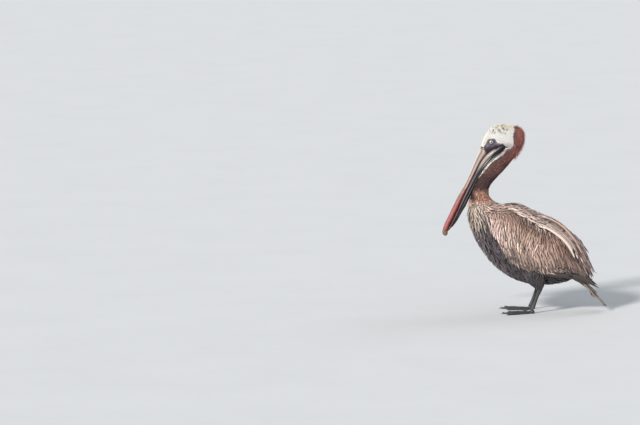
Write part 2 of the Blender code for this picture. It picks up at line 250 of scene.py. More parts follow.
def attribute(tree, name, output="Color"):
    """What the mesh carries under this name."""
    return node(tree, "Attribute", None, attribute_name=name).outputs[output]


def own_place(tree):
    """The place on the bird itself, in metres."""
    return node(tree, "TexCoord").outputs["Object"]


def noise(tree, place, scale, detail):
    """Random clouds over a place."""
    return node(tree, "TexNoise", {"Vector": place, "Scale": scale, "Detail": detail}).outputs["Fac"]


def toned(tree, colour, tone):
    """A colour made lighter or darker by a number."""
    grey = node(tree, "CombineColor", {0: tone, 1: tone, 2: tone}).outputs[0]
    return mixed(tree, 1.0, colour, grey, "MULTIPLY")


def group(name, inputs, outputs):
    """An empty node group with named sockets: returns it, its input node and its output node."""
    tree = bpy.data.node_groups.new(name, "ShaderNodeTree")
    for label, kind, value in inputs:
        made = tree.interface.new_socket(label, in_out="INPUT", socket_type="NodeSocket" + kind)
        made.default_value = value
    for label, kind in outputs:
        tree.interface.new_socket(label, in_out="OUTPUT", socket_type="NodeSocket" + kind)
    return tree, tree.nodes.new("NodeGroupInput"), tree.nodes.new("NodeGroupOutput")


def placed(tree, what, values):
    """A node group put into a material, with its own values."""
    return node(tree, "Group", values, node_tree=what)


def finish_of(name, **constants):
    """A new material: returns it, its tree and its shader, with the shader's plain values set."""
    material = bpy.data.materials.new(name)
    material.use_nodes = True
    tree = material.node_tree
    shader = tree.nodes["Principled BSDF"]
    for key, value in constants.items():
        shader.inputs[key.replace("_", " ").title()].default_value = value
    return material, tree, shader


def relief(tree, shader, height, strength, distance):
    """Raises the surface by a height, for the light only."""
    values = {"Height": height, "Strength": strength, "Distance": distance}
    put(tree, shader.inputs["Normal"], node(tree, "Bump", values).outputs["Normal"])


# %% [markdown]
# ## Two effects that many finishes share
# A feather's vane is paler or darker along its edges, has a shaft down the middle, and is
# combed into fine barbs that slant towards the tip. Horn, skin and leather share a mottle:
# coarse and fine clouds that lighten and darken one colour, so that no surface is flat.

# %% The vane and mottle groups
VANE, given, wanted = group(
    "vane",
    [
        ("Tint", "Color", (1, 1, 1, 1)),
        ("Rim", "Color", (0, 0, 0, 1)),
        ("Rim Start", "Float", 0.6),
        ("Tip Start", "Float", 0.85),
        ("Shaft", "Float", 0.4),
        ("Barbs", "Float", 30.0),
    ],
    [("Colour", "Color"), ("Height", "Float")],
)
across_along = node(VANE, "SeparateXYZ", {0: node(VANE, "UVMap", None, uv_map="vane").outputs[0]})
across, along = across_along.outputs[0], across_along.outputs[1]
off_shaft = maths(VANE, "ABSOLUTE", maths(VANE, "MULTIPLY_ADD", across, 2.0, -1.0))
wobble = maths(VANE, "MULTIPLY_ADD", noise(VANE, own_place(VANE), 260.0, 2.0), 0.36, -0.18)
off_ragged = maths(VANE, "ADD", off_shaft, wobble)
rim_start, tip_start = given.outputs["Rim Start"], given.outputs["Tip Start"]
side_rim = ramped(VANE, off_ragged, rim_start, maths(VANE, "ADD", rim_start, 0.3))
tip_place = maths(VANE, "ADD", along, maths(VANE, "MULTIPLY", wobble, 0.5))
tip_rim = ramped(VANE, tip_place, tip_start, maths(VANE, "ADD", tip_start, 0.14))
rim = maths(VANE, "MAXIMUM", side_rim, tip_rim)
colour = mixed(VANE, rim, given.outputs["Tint"], given.outputs["Rim"])
shaft = ramped(VANE, off_shaft, 0.03, 0.13, 1.0, 0.0)
shaft = maths(VANE, "MULTIPLY", shaft, ramped(VANE, along, 0.55, 0.95, 1.0, 0.0))
colour = mixed(VANE, maths(VANE, "MULTIPLY", shaft, given.outputs["Shaft"]), colour, given.outputs["Rim"])
slant = maths(VANE, "MULTIPLY_ADD", off_shaft, -0.3, along)
turns = maths(VANE, "MULTIPLY", slant, given.outputs["Barbs"])
barb = maths(VANE, "SINE", maths(VANE, "MULTIPLY", turns, 2 * math.pi))
# The barbs are a real pattern with painted light and shade on it: lighter on each barb's crest, darker in the
# furrows between, in step with their bump.
shade = ramped(VANE, barb, -1.0, 1.0, 0.74, 1.1)
put(VANE, wanted.inputs["Colour"], toned(VANE, colour, shade))
put(VANE, wanted.inputs["Height"], maths(VANE, "MULTIPLY_ADD", barb, 0.25, shaft))

MOTTLE, given, wanted = group(
    "mottle",
    [("Base", "Color", (1, 1, 1, 1)), ("Scale", "Float", 60.0), ("Amount", "Float", 0.3)],
    [("Colour", "Color"), ("Height", "Float")],
)
place = own_place(MOTTLE)
coarse = noise(MOTTLE, place, given.outputs["Scale"], 6.0)
fine = noise(MOTTLE, place, maths(MOTTLE, "MULTIPLY", given.outputs["Scale"], 7.0), 4.0)
clouds = maths(MOTTLE, "MULTIPLY_ADD", fine, 0.35, maths(MOTTLE, "MULTIPLY", coarse, 0.65))
swing = maths(MOTTLE, "MULTIPLY", maths(MOTTLE, "SUBTRACT", clouds, 0.5), 4.0)
tone = maths(MOTTLE, "MULTIPLY_ADD", swing, given.outputs["Amount"], 1.0)
put(MOTTLE, wanted.inputs["Colour"], toned(MOTTLE, given.outputs["Base"], tone))
put(MOTTLE, wanted.inputs["Height"], clouds)
print("groups:", [g.name for g in bpy.data.node_groups])


def mottled(tree, shader, base, scale, amount):
    """Colours a shader with the mottle of one colour, and returns the mottle's height."""
    mottle = placed(tree, MOTTLE, {"Base": base, "Scale": scale, "Amount": amount})
    put(tree, shader.inputs["Base Color"], mottle.outputs["Colour"])
    return mottle.outputs["Height"]


# %% The floor's paper
material, tree, shader = finish_of("floor_paper", roughness=0.9)
mottled(tree, shader, (*PAPER, 1), 3.0, 0.03)
floor.data.materials.append(material)

# %% [markdown]
# ## Where each colour lies
# Skin and feathers are painted by the same function, so that a parted feather shows the right
# colour under it. It works in the bird's side view, in millimetres: y runs from bill to tail
# and z is the height. Each mark has its own named edge.

# %% The markings
FACE_TOP = [  # y, z: the bare face's upper edge, from the bill's root round the eye to the gape
    (-153, 577), (-151, 585), (-144, 594), (-139, 603), (-134, 613), (-127, 618), (-116, 619.5),
    (-109, 617), (-105, 609), (-98, 603), (-84, 601), (-76, 594), (-66, 591), (-60, 588),
]
WHITE_EDGE = [  # y, z: the lower edge of the white, along the pouch and under the cheek
    (-160, 481), (-150, 494), (-136.5, 510), (-124, 524.5), (-108, 539.5), (-87, 555),
    (-73, 566), (-62, 582), (-50, 590), (-40, 592),
]
BREAST_FRONT = [  # z, y: the breast's outline from below
    (161, -102), (190, -133), (225, -156), (264, -176), (307, -191), (341, -201), (372, -203),
]
CREST_Y = -46  # the crest starts behind this line
SCAPULAR_EDGE = [  # y, z: below this line lie the wing's coverts, above it the scapulars
    (-110, 386), (-92, 385), (-39, 364), (-14, 349), (14, 335), (35, 321), (56, 309), (81, 298),
    (105, 286), (127, 264), (148, 243), (162, 222), (168, 200), (177, 186), (186, 143),
]
WING_EDGE_LINE = [  # y, z: the closed wing's lower edge, from its bend to the tip
    (-130, 318), (-111, 276), (-80, 227), (-44, 187), (-1, 156), (51, 139), (101, 134), (143, 134),
    (177, 131), (206, 123), (231, 107), (263, 86),
]
WHITE = paint(255, 252, 247)
CROWN_SPECK = paint(104, 84, 58)
STRAW = paint(228, 212, 176)
CREST = paint(156, 90, 80)
CHESTNUT = paint(98, 60, 57)
DARK_NECK = paint(64, 35, 38)
RUST = paint(188, 138, 116)
TAN = paint(218, 186, 172)
CREAM = paint(186, 168, 154)
STREAK = paint(58, 46, 44)
GREY_BREAST = paint(114, 100, 100)
BELLY = paint(51, 43, 50)
SILVER = paint(186, 160, 146)
WING_EDGE = paint(80, 60, 52)
PALE_FRONT = paint(186, 162, 153)
REAR_BROWN = paint(150, 121, 108)
MANTLE = paint(138, 105, 99)
TERTIAL = paint(244, 222, 208)
MANTLE_RIM = paint(74, 56, 50)
FLIGHT = paint(56, 46, 44)
FACE_SKIN = paint(72, 64, 73)
GAPE_SKIN = paint(38, 32, 40)
LILAC = paint(168, 138, 168)
LEG_SKIN = paint(50, 50, 52)

FLESH = [
    "head", "neck_upper", "neck_lower", "trunk", "wing_left", "wing_right", "wing_tip_left",
    "wing_tip_right", "tail", "thigh_left", "thigh_right", "shank_left", "shank_right",
    "foot_left", "foot_right",
]


def along_line(y, line):
    """The height of a line of (y, z) points at each y."""
    ys, zs = np.array(line, float).T
    return np.interp(y, ys, zs)


def waves(points, length, seed):
    """Soft random waves over space, from -1 to 1, with this wavelength in metres."""
    random = np.random.default_rng(seed)
    total = 0
    for _ in range(6):
        way = unit(random.normal(size=3)) * 2 * math.pi / (length * random.uniform(0.7, 1.4))
        total = total + np.sin(points @ way + random.uniform(0, 2 * math.pi))
    return total / 3.2


def is_bare_face(points, part):
    """Where the head has no feathers: round the eye and down to the gape."""
    y, z = side_view(points)
    low_jaw = (z < 588) & (y < -52)
    return (part == "head") & (y < -58) & ((z < along_line(y, FACE_TOP)) | low_jaw)


def is_white(points, part):
    """The white of the head, and the stripe down beside the pouch."""
    y, z = side_view(points)
    ragged = 2.2 * waves(points, 14 * MM, 3)
    over = z > along_line(y, WHITE_EDGE) + ragged * 0.3
    return np.isin(part, ("head", "neck_upper")) & over & (y < CREST_Y + ragged)


def markings(points, part):
    """The colour of each point's feathers in the middle and at the rim."""
    y, z = side_view(points)
    wing = np.char.startswith(part, "wing")
    near, far = waves(points, 60 * MM, 5), waves(points, 22 * MM, 6)

    tint = mix(BELLY, GREY_BREAST, 0.12 + 0.1 * near)
    rim = tint * 0.7
    # The breast: cream with dark streaks high up, then grey, then the dark belly.
    behind = y - np.interp(z, *np.array(BREAST_FRONT, float).T)
    breast = (part == "trunk") | (part == "neck_lower")
    grey = np.where(breast, (1 - fade(behind + 6 * far, 20, 40)) * (0.4 + 0.6 * fade(z, 200, 290)), 0)
    tint, rim = mix(tint, GREY_BREAST, grey), mix(rim, BELLY, grey)
    pale = np.where(breast, (1 - fade(behind, 34, 62)) * fade(z + 12 * far, 296, 336), 0)
    tint, rim = mix(tint, CREAM, pale), mix(rim, STREAK, pale)

    collar = np.where(breast, fade(z, 340, 368) * fade(behind, 42, 62), 0)
    tint, rim = mix(tint, mix(TAN, SILVER, 0.5), collar), mix(rim, MANTLE_RIM, collar)

    # The back: scapulars with pale middles, and the tertials paler still.
    back = np.where(breast, fade(z - (355 - 0.55 * (y + 60)), -70, -30) * fade(y, -120, -85), 0)
    rear = fade(y, 75, 120)
    mantle = mix(mix(MANTLE, TAN * [1.02, 0.93, 0.87], rear), TERTIAL, 0.32 + 0.25 * near - 0.08 * rear)
    tint, rim = mix(tint, mantle, back), mix(rim, mix(MANTLE_RIM, mantle, 0.25 * rear), back)

    # The wing: silver-brown coverts, paler along the leading edge and browner at the rear.
    over = fade(z - along_line(y, SCAPULAR_EDGE), -6, 8)
    silver = mix(SILVER, PALE_FRONT, fade(-y, 55, 100))
    silver = mix(silver, REAR_BROWN, fade(y, 70, 150))
    silver = mix(silver, REAR_BROWN, np.clip(0.25 + 0.45 * near, 0, 1) * fade(y, -60, 0))
    under = along_line(y, SCAPULAR_EDGE) - z
    # Painted shade: the coverts are darkened just under the scapulars' edge, with a thin painted shadow line
    # right along it, lighter lower down, and darker again towards the wing's lower front edge and its rear.
    shade = (0.50 + 0.76 * fade(under, 4, 58)) * (1 - 0.45 * hump(under, 3, 6)) * (1 + 0.18 * fade(y, 10, 60))
    edge = 1 - fade(z - along_line(y, WING_EDGE_LINE), 30, 60)
    shade = shade * (1 - 0.45 * edge * fade(-y, 20, 50) * fade(under, 60, 90))
    shade = shade * (1 - 0.3 * fade(y + 0.35 * under, 100, 155)) * (1 - 0.08 * fade(under - 0.5 * y, 85, 125))
    silver = silver * shade[:, None] * mix([1.0, 1.03, 1.04], [1.0, 0.88, 0.82], 1 - fade(under, 20, 75))
    browner = 0.45 + 0.4 * fade(y, 80, 130)
    silver = mix(silver, mix(TERTIAL, MANTLE, np.clip(browner + 0.5 * far, 0, 1)), over)
    tint[wing], rim[wing] = silver[wing], mix(WING_EDGE, MANTLE_RIM, over)[wing]

    # The neck: bright rust at the nape, dark below the bend, rusty again at its foot, then tan.
    neck = np.isin(part, ("head", "neck_upper", "neck_lower"))
    red = mix(CHESTNUT, CREST, fade(y, -75, -30))
    red = mix(red, DARK_NECK, 0.6 * hump(y, CREST_Y + 2, 4) * fade(z, 590, 605))
    red = mix(red, DARK_NECK, fade(-z, -520, -480) * 0.8)
    flecks = fade(waves(points, 6 * MM, 12), 0.1, 0.5) * fade(z, 470, 500) * (1 - fade(y, -80, -50))
    red = mix(red, RUST * [0.8, 0.62, 0.55], 0.4 * flecks)
    red = mix(red, RUST, fade(-z, -452, -425))
    red = mix(red, TAN, fade(-z + 0.25 * far, -405, -388))
    red = mix(red, CREAM, fade(-z, -398, -380) * fade(-y, 120, 175))
    # Painted shadow: the neck's front just under the pouch is darkened nearly to black.
    red = mix(red, DARK_NECK * 0.4, fade(-y, 168, 184) * fade(z, 398, 412))
    fine = 0.5 * waves(points, 9 * MM, 8) + 0.4 * waves(points, 4 * MM, 9)
    red = red * (1 + 0.15 * far + fine)[:, None].clip(0.35, 1.6)
    tint, rim = np.where(neck[:, None], red, tint), np.where(neck[:, None], red * 0.5, rim)
    foot_of_neck = (part == "trunk") & (z > 350) & (y < -60)
    share = np.where(foot_of_neck, fade(z, 366, 384), 0)
    tint = mix(tint, mix(TAN, CREAM, fade(-y, 120, 175)), share)

    # The head: white, straw-coloured on the forehead, with dark specks on the crown.
    white = is_white(points, part)
    head = mix(WHITE, STRAW, fade(z, 640, 662) * 0.55 + fade(-y, 118, 140) * 0.3)
    head = mix(head, paint(214, 206, 206), fade(-z, -612, -596) * fade(y, -100, -80))
    speck = waves(points, 8 * MM, 11) * fade(z, 624, 640) * fade(-y, 58, 74)
    head = mix(head, CROWN_SPECK, fade(speck, 0.24, 0.5) * 0.85)
    tint = np.where(white[:, None], head, tint)
    rim = np.where(white[:, None], head * 0.95, rim)

    # Flight feathers, tail, and what has no feathers at all.
    dark = np.char.startswith(part, "wing_tip") & (z < along_line(y, WING_EDGE_LINE) + 45)
    tint[dark], rim[dark] = FLIGHT, FLIGHT * 0.6
    tail = part == "tail"
    tint[tail], rim[tail] = mix(FLIGHT, REAR_BROWN, 0.45), FLIGHT
    bare = is_bare_face(points, part)
    low = np.maximum(fade(-z, -596, -580), fade(-y, 138, 150) * fade(-z, -606, -592))
    skin = mix(FACE_SKIN, GAPE_SKIN, low)
    skin = mix(skin, LILAC, 0.8 * hump(y, -97, 9) * hump(z, 601, 6))
    speckle = fade(waves(points, 4.5 * MM, 12), 0.3, 0.7) * fade(-y, 104, 116) * fade(-z, -606, -596)
    skin = mix(skin, paint(158, 148, 154), 0.6 * speckle * (1 - low))
    tint[bare] = skin[bare]
    legs = np.char.startswith(part, "shank") | np.char.startswith(part, "foot")
    tint[legs] = LEG_SKIN
    return np.clip(tint, 0, 1), np.clip(rim, 0, 1)


# %% [markdown]
# ## One skin
# The flesh is one surface. Copies of all its nodes are swollen a little so that they meet,
# joined, and remeshed as one shell, which leaves no seam. The tail and the wing tips are only
# feathers past a point, so they are cut short there. Then the shell is drawn inwards by the
# depth of the coat, which differs from part to part and is nothing on the face and legs.

# %% Join the flesh
SKIN_GROWTH = 0.6 * MM
SKIN_GRAIN = 1.45 * MM
TAIL_STUMP = ((0, 232, 88), (0, -0.67, 0.74))  # a point in mm, and the way back to the body
WING_STUMP = ((0, 224, 150), (0, -0.7, 0.7))


def copy_of(*names):
    """Merged copies of CAD nodes, as one object."""
    made = []
    for name in names:
        thing = bpy.data.objects.new("copy_" + name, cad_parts[name].data.copy())
        bpy.context.scene.collection.objects.link(thing)
        thing.data.materials.clear()
        made.append(thing)
    take(*made)
    if len(made) > 1:
        bpy.ops.object.join()
    joined_one = bpy.context.object
    with EditMode(joined_one):
        bpy.ops.mesh.remove_doubles(threshold=1e-6)
    return joined_one


def shortened(thing, stump):
    """Cuts an object off at a plane and closes it."""
    place, way = stump
    place = [v * MM for v in place]
    with EditMode(thing):
        bpy.ops.mesh.bisect(plane_co=place, plane_no=way, use_fill=True, clear_inner=True)
    return thing


def applied(thing, kind, **settings):
    """Adds a modifier, sets it and applies it."""
    take(thing)
    modifier = thing.modifiers.new("step", kind)
    for key, value in settings.items():
        setattr(modifier, key, value)
    bpy.ops.object.modifier_apply(modifier=modifier.name)
    return thing


whole = [name for name in FLESH if name != "tail" and not name.startswith("wing_tip")]
flesh = [copy_of(*whole), shortened(copy_of("tail"), TAIL_STUMP)]
flesh += [shortened(copy_of("wing_tip_" + side), WING_STUMP) for side, _ in SIDES]
take(*flesh)
bpy.ops.object.join()
skin = bpy.context.object
skin.name = skin.data.name = "skin"
applied(skin, "DISPLACE", strength=SKIN_GROWTH, mid_level=0.0)
applied(skin, "REMESH", mode="VOXEL", voxel_size=SKIN_GRAIN)


def keep_largest(thing):
    """Deletes every loose shell but the largest, such as a hollow left between two nodes."""
    mesh = thing.data
    one, other = read(mesh.edges, "vertices", 2).T
    shell = np.arange(len(mesh.vertices))
    while True:
        least = np.minimum(shell[one], shell[other])
        before = shell.copy()
        np.minimum.at(shell, one, least)
        np.minimum.at(shell, other, least)
        shell = shell[shell]
        if (shell == before).all():
            break
    stray = shell != np.bincount(shell).argmax()
    mesh.vertices.foreach_set("select", stray)
    bpy.context.tool_settings.mesh_select_mode = (True, False, False)
    with EditMode(thing, everything=False):
        bpy.ops.mesh.delete(type="VERT")
    print("loose points taken away:", int(stray.sum()))


keep_largest(skin)
print("skin after the remesh:", len(skin.data.polygons), "faces")

# %% [markdown]
# The face and the eyelids need finer skin than the body under its feathers. The face is
# subdivided, and the rest is thinned out, so that the detail is where it can be seen.

# %% Fine skin on the face, plain skin under the coat
EYE = np.array([23.4, -122.0, 606.0]) * MM
EYE_RADIUS = 8.8 * MM
PLAIN_SHARE = 0.17  # of the faces that are kept under the coat


def nearest_part(points):
    """The name of the CAD node that lies nearest to each point."""
    corners, faces, names = [], [], []
    for name in FLESH:
        node_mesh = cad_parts[name].data
        node_mesh.calc_loop_triangles()
        base = len(corners)
        corners.extend(v.co.copy() for v in node_mesh.vertices)
        faces.extend([base + i for i in t.vertices] for t in node_mesh.loop_triangles)
        names.extend([name] * len(node_mesh.loop_triangles))
    tree = BVHTree.FromPolygons(corners, faces)
    return np.array([names[tree.find_nearest(Vector(p))[2]] for p in points])


points = points_of(skin)
y, z = side_view(points)
on_face = (y < -50) & (y > -162) & (z > 538) & (z < 628) & (np.abs(points[:, 0]) > 6 * MM)
on_leg = z < 88
keep = skin.vertex_groups.new(name="plain")
for weight, chosen in ((1.0, ~(on_face | on_leg)), (0.25, on_leg)):
    keep.add(np.flatnonzero(chosen).tolist(), weight, "REPLACE")
applied(skin, "DECIMATE", ratio=PLAIN_SHARE, vertex_group="plain")
with EditMode(skin):
    bpy.ops.mesh.select_all(action="DESELECT")
points = points_of(skin)
y, z = side_view(points)
on_face = (y < -56) & (y > -158) & (z > 545) & (z < 624) & (np.abs(points[:, 0]) > 8 * MM)
skin.data.vertices.foreach_set("select", on_face)
with EditMode(skin, everything=False):
    bpy.ops.mesh.subdivide(number_cuts=1, smoothness=0.0)
    bpy.ops.mesh.vertices_smooth(factor=0.5, repeat=4)
print("skin with its fine face:", len(skin.data.polygons), "faces")

# %% Draw the skin in by the coat's depth
COAT_DEPTH = {  # mm of coat over the skin
    "head": 2.6, "neck_upper": 3.6, "neck_lower": 4.2, "trunk": 6.0, "wing_left": 5.0,
    "wing_right": 5.0, "wing_tip_left": 3.0, "wing_tip_right": 3.0, "tail": 2.6,
    "thigh_left": 4.0, "thigh_right": 4.0,
}
MOST_OF_THICKNESS = 0.3  # the skin never moves in by more than this share of what is under it


class Surface:
    """The skin as numbers: its points, faces, smooth normals, and the coat's depth over them."""

    def __init__(self, thing):
        mesh = thing.data
        self.points = points_of(thing)
        self.edges = read(mesh.edges, "vertices", 2)
        self.degree = np.bincount(self.edges.ravel(), minlength=len(self.points))[:, None]
        mesh.calc_loop_triangles()
        self.faces = read(mesh.loop_triangles, "vertices", 3)

    def evened(self, values, rounds):
        """Values at the points, each averaged with its neighbours' this many times."""
        one, other = self.edges.T
        values = values.reshape(len(self.points), -1)
        for _ in range(rounds):
            total = np.zeros_like(values)
            np.add.at(total, one, values[other])
            np.add.at(total, other, values[one])
            values = 0.5 * values + 0.5 * total / self.degree
        return values

    def normals(self, rounds=3):
        """Outward directions at the points, smoothed."""
        a, b, c = (self.points[self.faces[:, k]] for k in range(3))
        across = np.cross(b - a, c - a)
        total = np.zeros_like(self.points)
        for k in range(3):
            np.add.at(total, self.faces[:, k], across)
        return unit(self.evened(unit(total), rounds))

    def thickness(self, normals):
        """How far it is from each point straight through to the other side."""
        tree = BVHTree.FromPolygons(self.points.tolist(), self.faces.tolist())
        found = []
        for point, normal in zip(self.points, normals):
            way = Vector(-normal)
            hit = tree.ray_cast(Vector(point) + way * MM, way)
            found.append(hit[3] if hit[3] is not None else 1.0)
        return np.array(found) + MM


surface = Surface(skin)
part = nearest_part(surface.points)
bare = is_bare_face(surface.points, part)
depth = np.array([COAT_DEPTH.get(name, 0.0) for name in part]) * MM
depth[bare] = 0
outward = surface.normals()
depth = np.minimum(depth, MOST_OF_THICKNESS * surface.thickness(outward))
depth = surface.evened(depth, 6)[:, 0]
depth[bare] = np.minimum(depth[bare], 0.2 * MM)
surface.points = surface.points - outward * depth[:, None]
covered = fade(depth, 0.4 * MM, 1.5 * MM)[:, None]
smoother = surface.evened(surface.points, 4)
surface.points = surface.points * (1 - covered) + smoother * covered
print("coat depth, mm: up to", round(depth.max() / MM, 1))

# %% [markdown]
# The lids are rings of skin round each eye, the upper one heavier, and the bare face is
# wrinkled in rings that follow them. These are moved in the mesh, so that they catch light and
# show in the outline.

# %% Lids and facial folds
LID_RING = 7.9 * MM
LID_HALF_WIDTH = 1.15 * MM
LID_HEIGHT = 1.0 * MM
FOLD_HEIGHT = 0.2 * MM


def from_eye(points):
    """How far each point lies from the nearer eye's axis, and how high it lies over the eye."""
    away = points[:, 1:] - EYE[1:]
    return np.hypot(away[:, 0], away[:, 1]), away[:, 1]


ring, over_eye = from_eye(surface.points)
near_eye = np.abs(surface.points[:, 0]) > 12 * MM
lid = hump(ring, LID_RING, LID_HALF_WIDTH) * near_eye
lid_height = LID_HEIGHT * (1 + 0.7 * fade(over_eye, -2 * MM, 6 * MM))
groove = hump(ring, 11.0 * MM, 1.2 * MM) * near_eye
folds = np.sin(ring / MM * 1.45 + 2.6 * waves(surface.points, 18 * MM, 21))
folds = folds * fade(ring, 11 * MM, 14 * MM) * (1 - fade(ring, 34 * MM, 44 * MM)) * bare * near_eye
rise = lid * lid_height - groove * 0.5 * MM + folds * FOLD_HEIGHT
surface.points = surface.points + surface.normals() * rise[:, None]
surface.points[:, 2] = np.maximum(surface.points[:, 2], 0)  # the soles rest on the floor
set_points(skin, surface.points)
skin.data.shade_smooth()
outward = surface.normals()

# %% The skin's own colours and its finish
on_leg = np.char.startswith(part, "shank") | np.char.startswith(part, "foot")


def carry(thing, name, values):
    """Stores a colour or a number for each point of a mesh."""
    values = np.asarray(values, np.float32)
    if values.ndim == 2:
        made = thing.data.attributes.new(name, "FLOAT_COLOR", "POINT")
        full = np.ones((len(values), 4), np.float32)
        full[:, :3] = values
        made.data.foreach_set("color", full.ravel())
    else:
        made = thing.data.attributes.new(name, "FLOAT", "POINT")
        made.data.foreach_set("value", values)


tint, _ = markings(surface.points, part)
# Under the coat the skin takes the feathers' colour, darkened as painted shade in the gaps between them; less
# under the white.
shade_under_coat = np.where(is_white(surface.points, part), 0.85, 0.6)[:, None]
tint = np.where((bare | on_leg)[:, None], tint, tint * shade_under_coat)
eye_ring = lid * bare
tint = mix(tint, paint(66, 52, 62), 0.8 * eye_ring)
tint = surface.evened(tint, 1)
carry(skin, "tint", tint)
carry(skin, "leg", on_leg.astype(float))

material, tree, shader = finish_of("bird_skin", roughness=0.55)
leg = attribute(tree, "leg", "Fac")
mottle = placed(tree, MOTTLE, {"Base": attribute(tree, "tint"), "Scale": 90.0, "Amount": 0.22})
scutes = node(tree, "TexVoronoi", {"Vector": own_place(tree), "Scale": 330.0}, feature="DISTANCE_TO_EDGE")
plate = ramped(tree, scutes.outputs["Distance"], 0.0, 0.16)
# Painted shade: the creases between the leg's scutes are darkened nearly to black, where the bump sinks them.
crease_shade = maths(tree, "MULTIPLY", maths(tree, "SUBTRACT", 1.0, plate), leg)
crease_shade = maths(tree, "MULTIPLY", crease_shade, 0.6)
colour = mixed(tree, crease_shade, mottle.outputs["Colour"], (0.008, 0.008, 0.008, 1))
put(tree, shader.inputs["Base Color"], colour)
pores = noise(tree, own_place(tree), 900.0, 3.0)
height = maths(tree, "MULTIPLY_ADD", plate, leg, maths(tree, "MULTIPLY", pores, 0.5))
relief(tree, shader, height, 0.5, 0.0006)
rough = maths(tree, "MULTIPLY_ADD", mottle.outputs["Height"], 0.25, 0.36)
put(tree, shader.inputs["Roughness"], rough)
skin.data.materials.clear()
skin.data.materials.append(material)
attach(skin, "root")
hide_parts(*FLESH)
triangles = {"skin": len(surface.faces)}
print("skin:", triangles["skin"], "triangles")

# %% [markdown]
# ## The lie of the coat
# Feathers lie from the bill backwards over the head, down the neck, down and back over the
# breast, and on the closed wing they hang almost straight down before they turn to the rear.
# A few guides say this in the side view: a place, the way feathers lie there, and how far the
# guide reaches. Every feather follows the blend of the guides near it.

# %% Guides for the lie
LIE = np.array([  # y, z in mm; the way in y and z; reach in mm
    (-152, 590, 0.3, 0.95, 10), (-138, 632, 0.6, 0.8, 14), (-108, 662, 0.92, 0.38, 15),
    (-70, 669, 1.0, 0.0, 15), (-40, 660, 0.85, -0.5, 12), (-18, 650, 0.55, -0.83, 12),
    (-115, 635, 0.95, 0.3, 12), (-85, 625, 1.0, -0.05, 14), (-60, 606, 0.85, -0.5, 12),
    (-60, 642, 1.0, -0.15, 14), (-12, 622, 0.0, -1.0, 14), (-28, 595, -0.4, -0.92, 15),
    (-60, 560, -0.62, -0.78, 20), (-100, 515, -0.66, -0.75, 22), (-135, 475, -0.55, -0.84, 18),
    (-152, 435, -0.1, -1.0, 18), (-150, 405, 0.1, -1.0, 16), (-105, 388, 0.7, -0.7, 14),
    (-178, 372, 0.5, -0.87, 16), (-190, 335, 0.55, -0.83, 18), (-152, 345, 0.62, -0.78, 18),
    (-180, 290, 0.45, -0.9, 22), (-150, 250, 0.55, -0.83, 24), (-120, 195, 0.7, -0.72, 25),
    (-70, 145, 0.85, -0.5, 28), (0, 105, 0.98, -0.15, 35), (100, 98, 0.98, 0.1, 35),
    (160, 108, 1.0, 0.0, 20), (-70, 378, 0.9, -0.4, 12), (-30, 384, 0.92, -0.35, 14),
    (40, 364, 0.9, -0.42, 18), (100, 331, 0.86, -0.5, 20), (150, 300, 0.82, -0.57, 20),
    (190, 262, 0.68, -0.74, 20), (215, 215, 0.5, -0.87, 22), (235, 170, 0.45, -0.9, 22),
    (-95, 330, 0.12, -0.99, 20), (-60, 290, 0.12, -0.99, 25), (-30, 330, -0.02, -1.0, 20),
    (0, 318, -0.28, -0.96, 22), (40, 280, -0.33, -0.94, 26), (20, 240, -0.2, -0.98, 28),
    (80, 278, 0.2, -0.98, 16), (92, 292, 0.45, -0.89, 12), (110, 240, 0.38, -0.92, 22),
    (150, 210, 0.42, -0.9, 22), (165, 180, 0.42, -0.9, 20), (60, 190, 0.15, -0.99, 30),
    (0, 180, 0.3, -0.95, 30), (-60, 220, 0.42, -0.9, 20), (-20, 200, 0.4, -0.92, 22),
    (220, 145, 0.65, -0.76, 20), (250, 110, 0.65, -0.76, 20),
])


def lie(points, normals):
    """The way that the coat lies at each point, along the surface."""
    away = points[:, None, 1:] / MM - LIE[None, :, :2]
    weight = np.exp(-0.5 * (away**2).sum(2) / LIE[:, 4] ** 2) + 1e-9
    flat = weight @ LIE[:, 2:4]
    way = np.column_stack([np.zeros(len(points)), flat])
    way -= normals * (way * normals).sum(1, keepdims=True)
    return unit(way)


SKIN_TREE = BVHTree.FromPolygons(surface.points.tolist(), surface.faces.tolist())
FACE_NORMALS = unit(outward[surface.faces].mean(1))
FACE_DEPTH = depth[surface.faces].mean(1)


def snapped(points):
    """The nearest places on the skin, and the faces they lie on."""
    found = [SKIN_TREE.find_nearest(Vector(p)) for p in points]
    places = np.array([f[0][:] for f in found])
    return places, np.array([f[2] for f in found])


print("the lie has", len(LIE), "guides")

# %% [markdown]
# ## Feather shapes
# Each kind of feather is modelled once, as by hand: a small ring is drawn and extruded row by
# row into a tube, the tube is flattened into a thin vane with its shaft raised, and the last
# row is drawn together to a tip. Its width follows an outline, with a nick or two where barbs
# have parted. It is one unit long, and is stretched and bent to its place on the bird.

# %% Model the feathers
SECTION = {  # across from -0.5 to 0.5, and height, of the points round one row of a vane
    3: [(-0.5, 0.0), (0.0, 1.0), (0.5, 0.0)],
    5: [(-0.5, 0.0), (-0.26, 0.62), (0.0, 1.0), (0.26, 0.62), (0.5, 0.0)],
    7: [(-0.5, 0.0), (-0.28, 0.55), (-0.045, 0.75), (0.0, 1.15), (0.045, 0.75), (0.28, 0.55), (0.5, 0.0)],
}


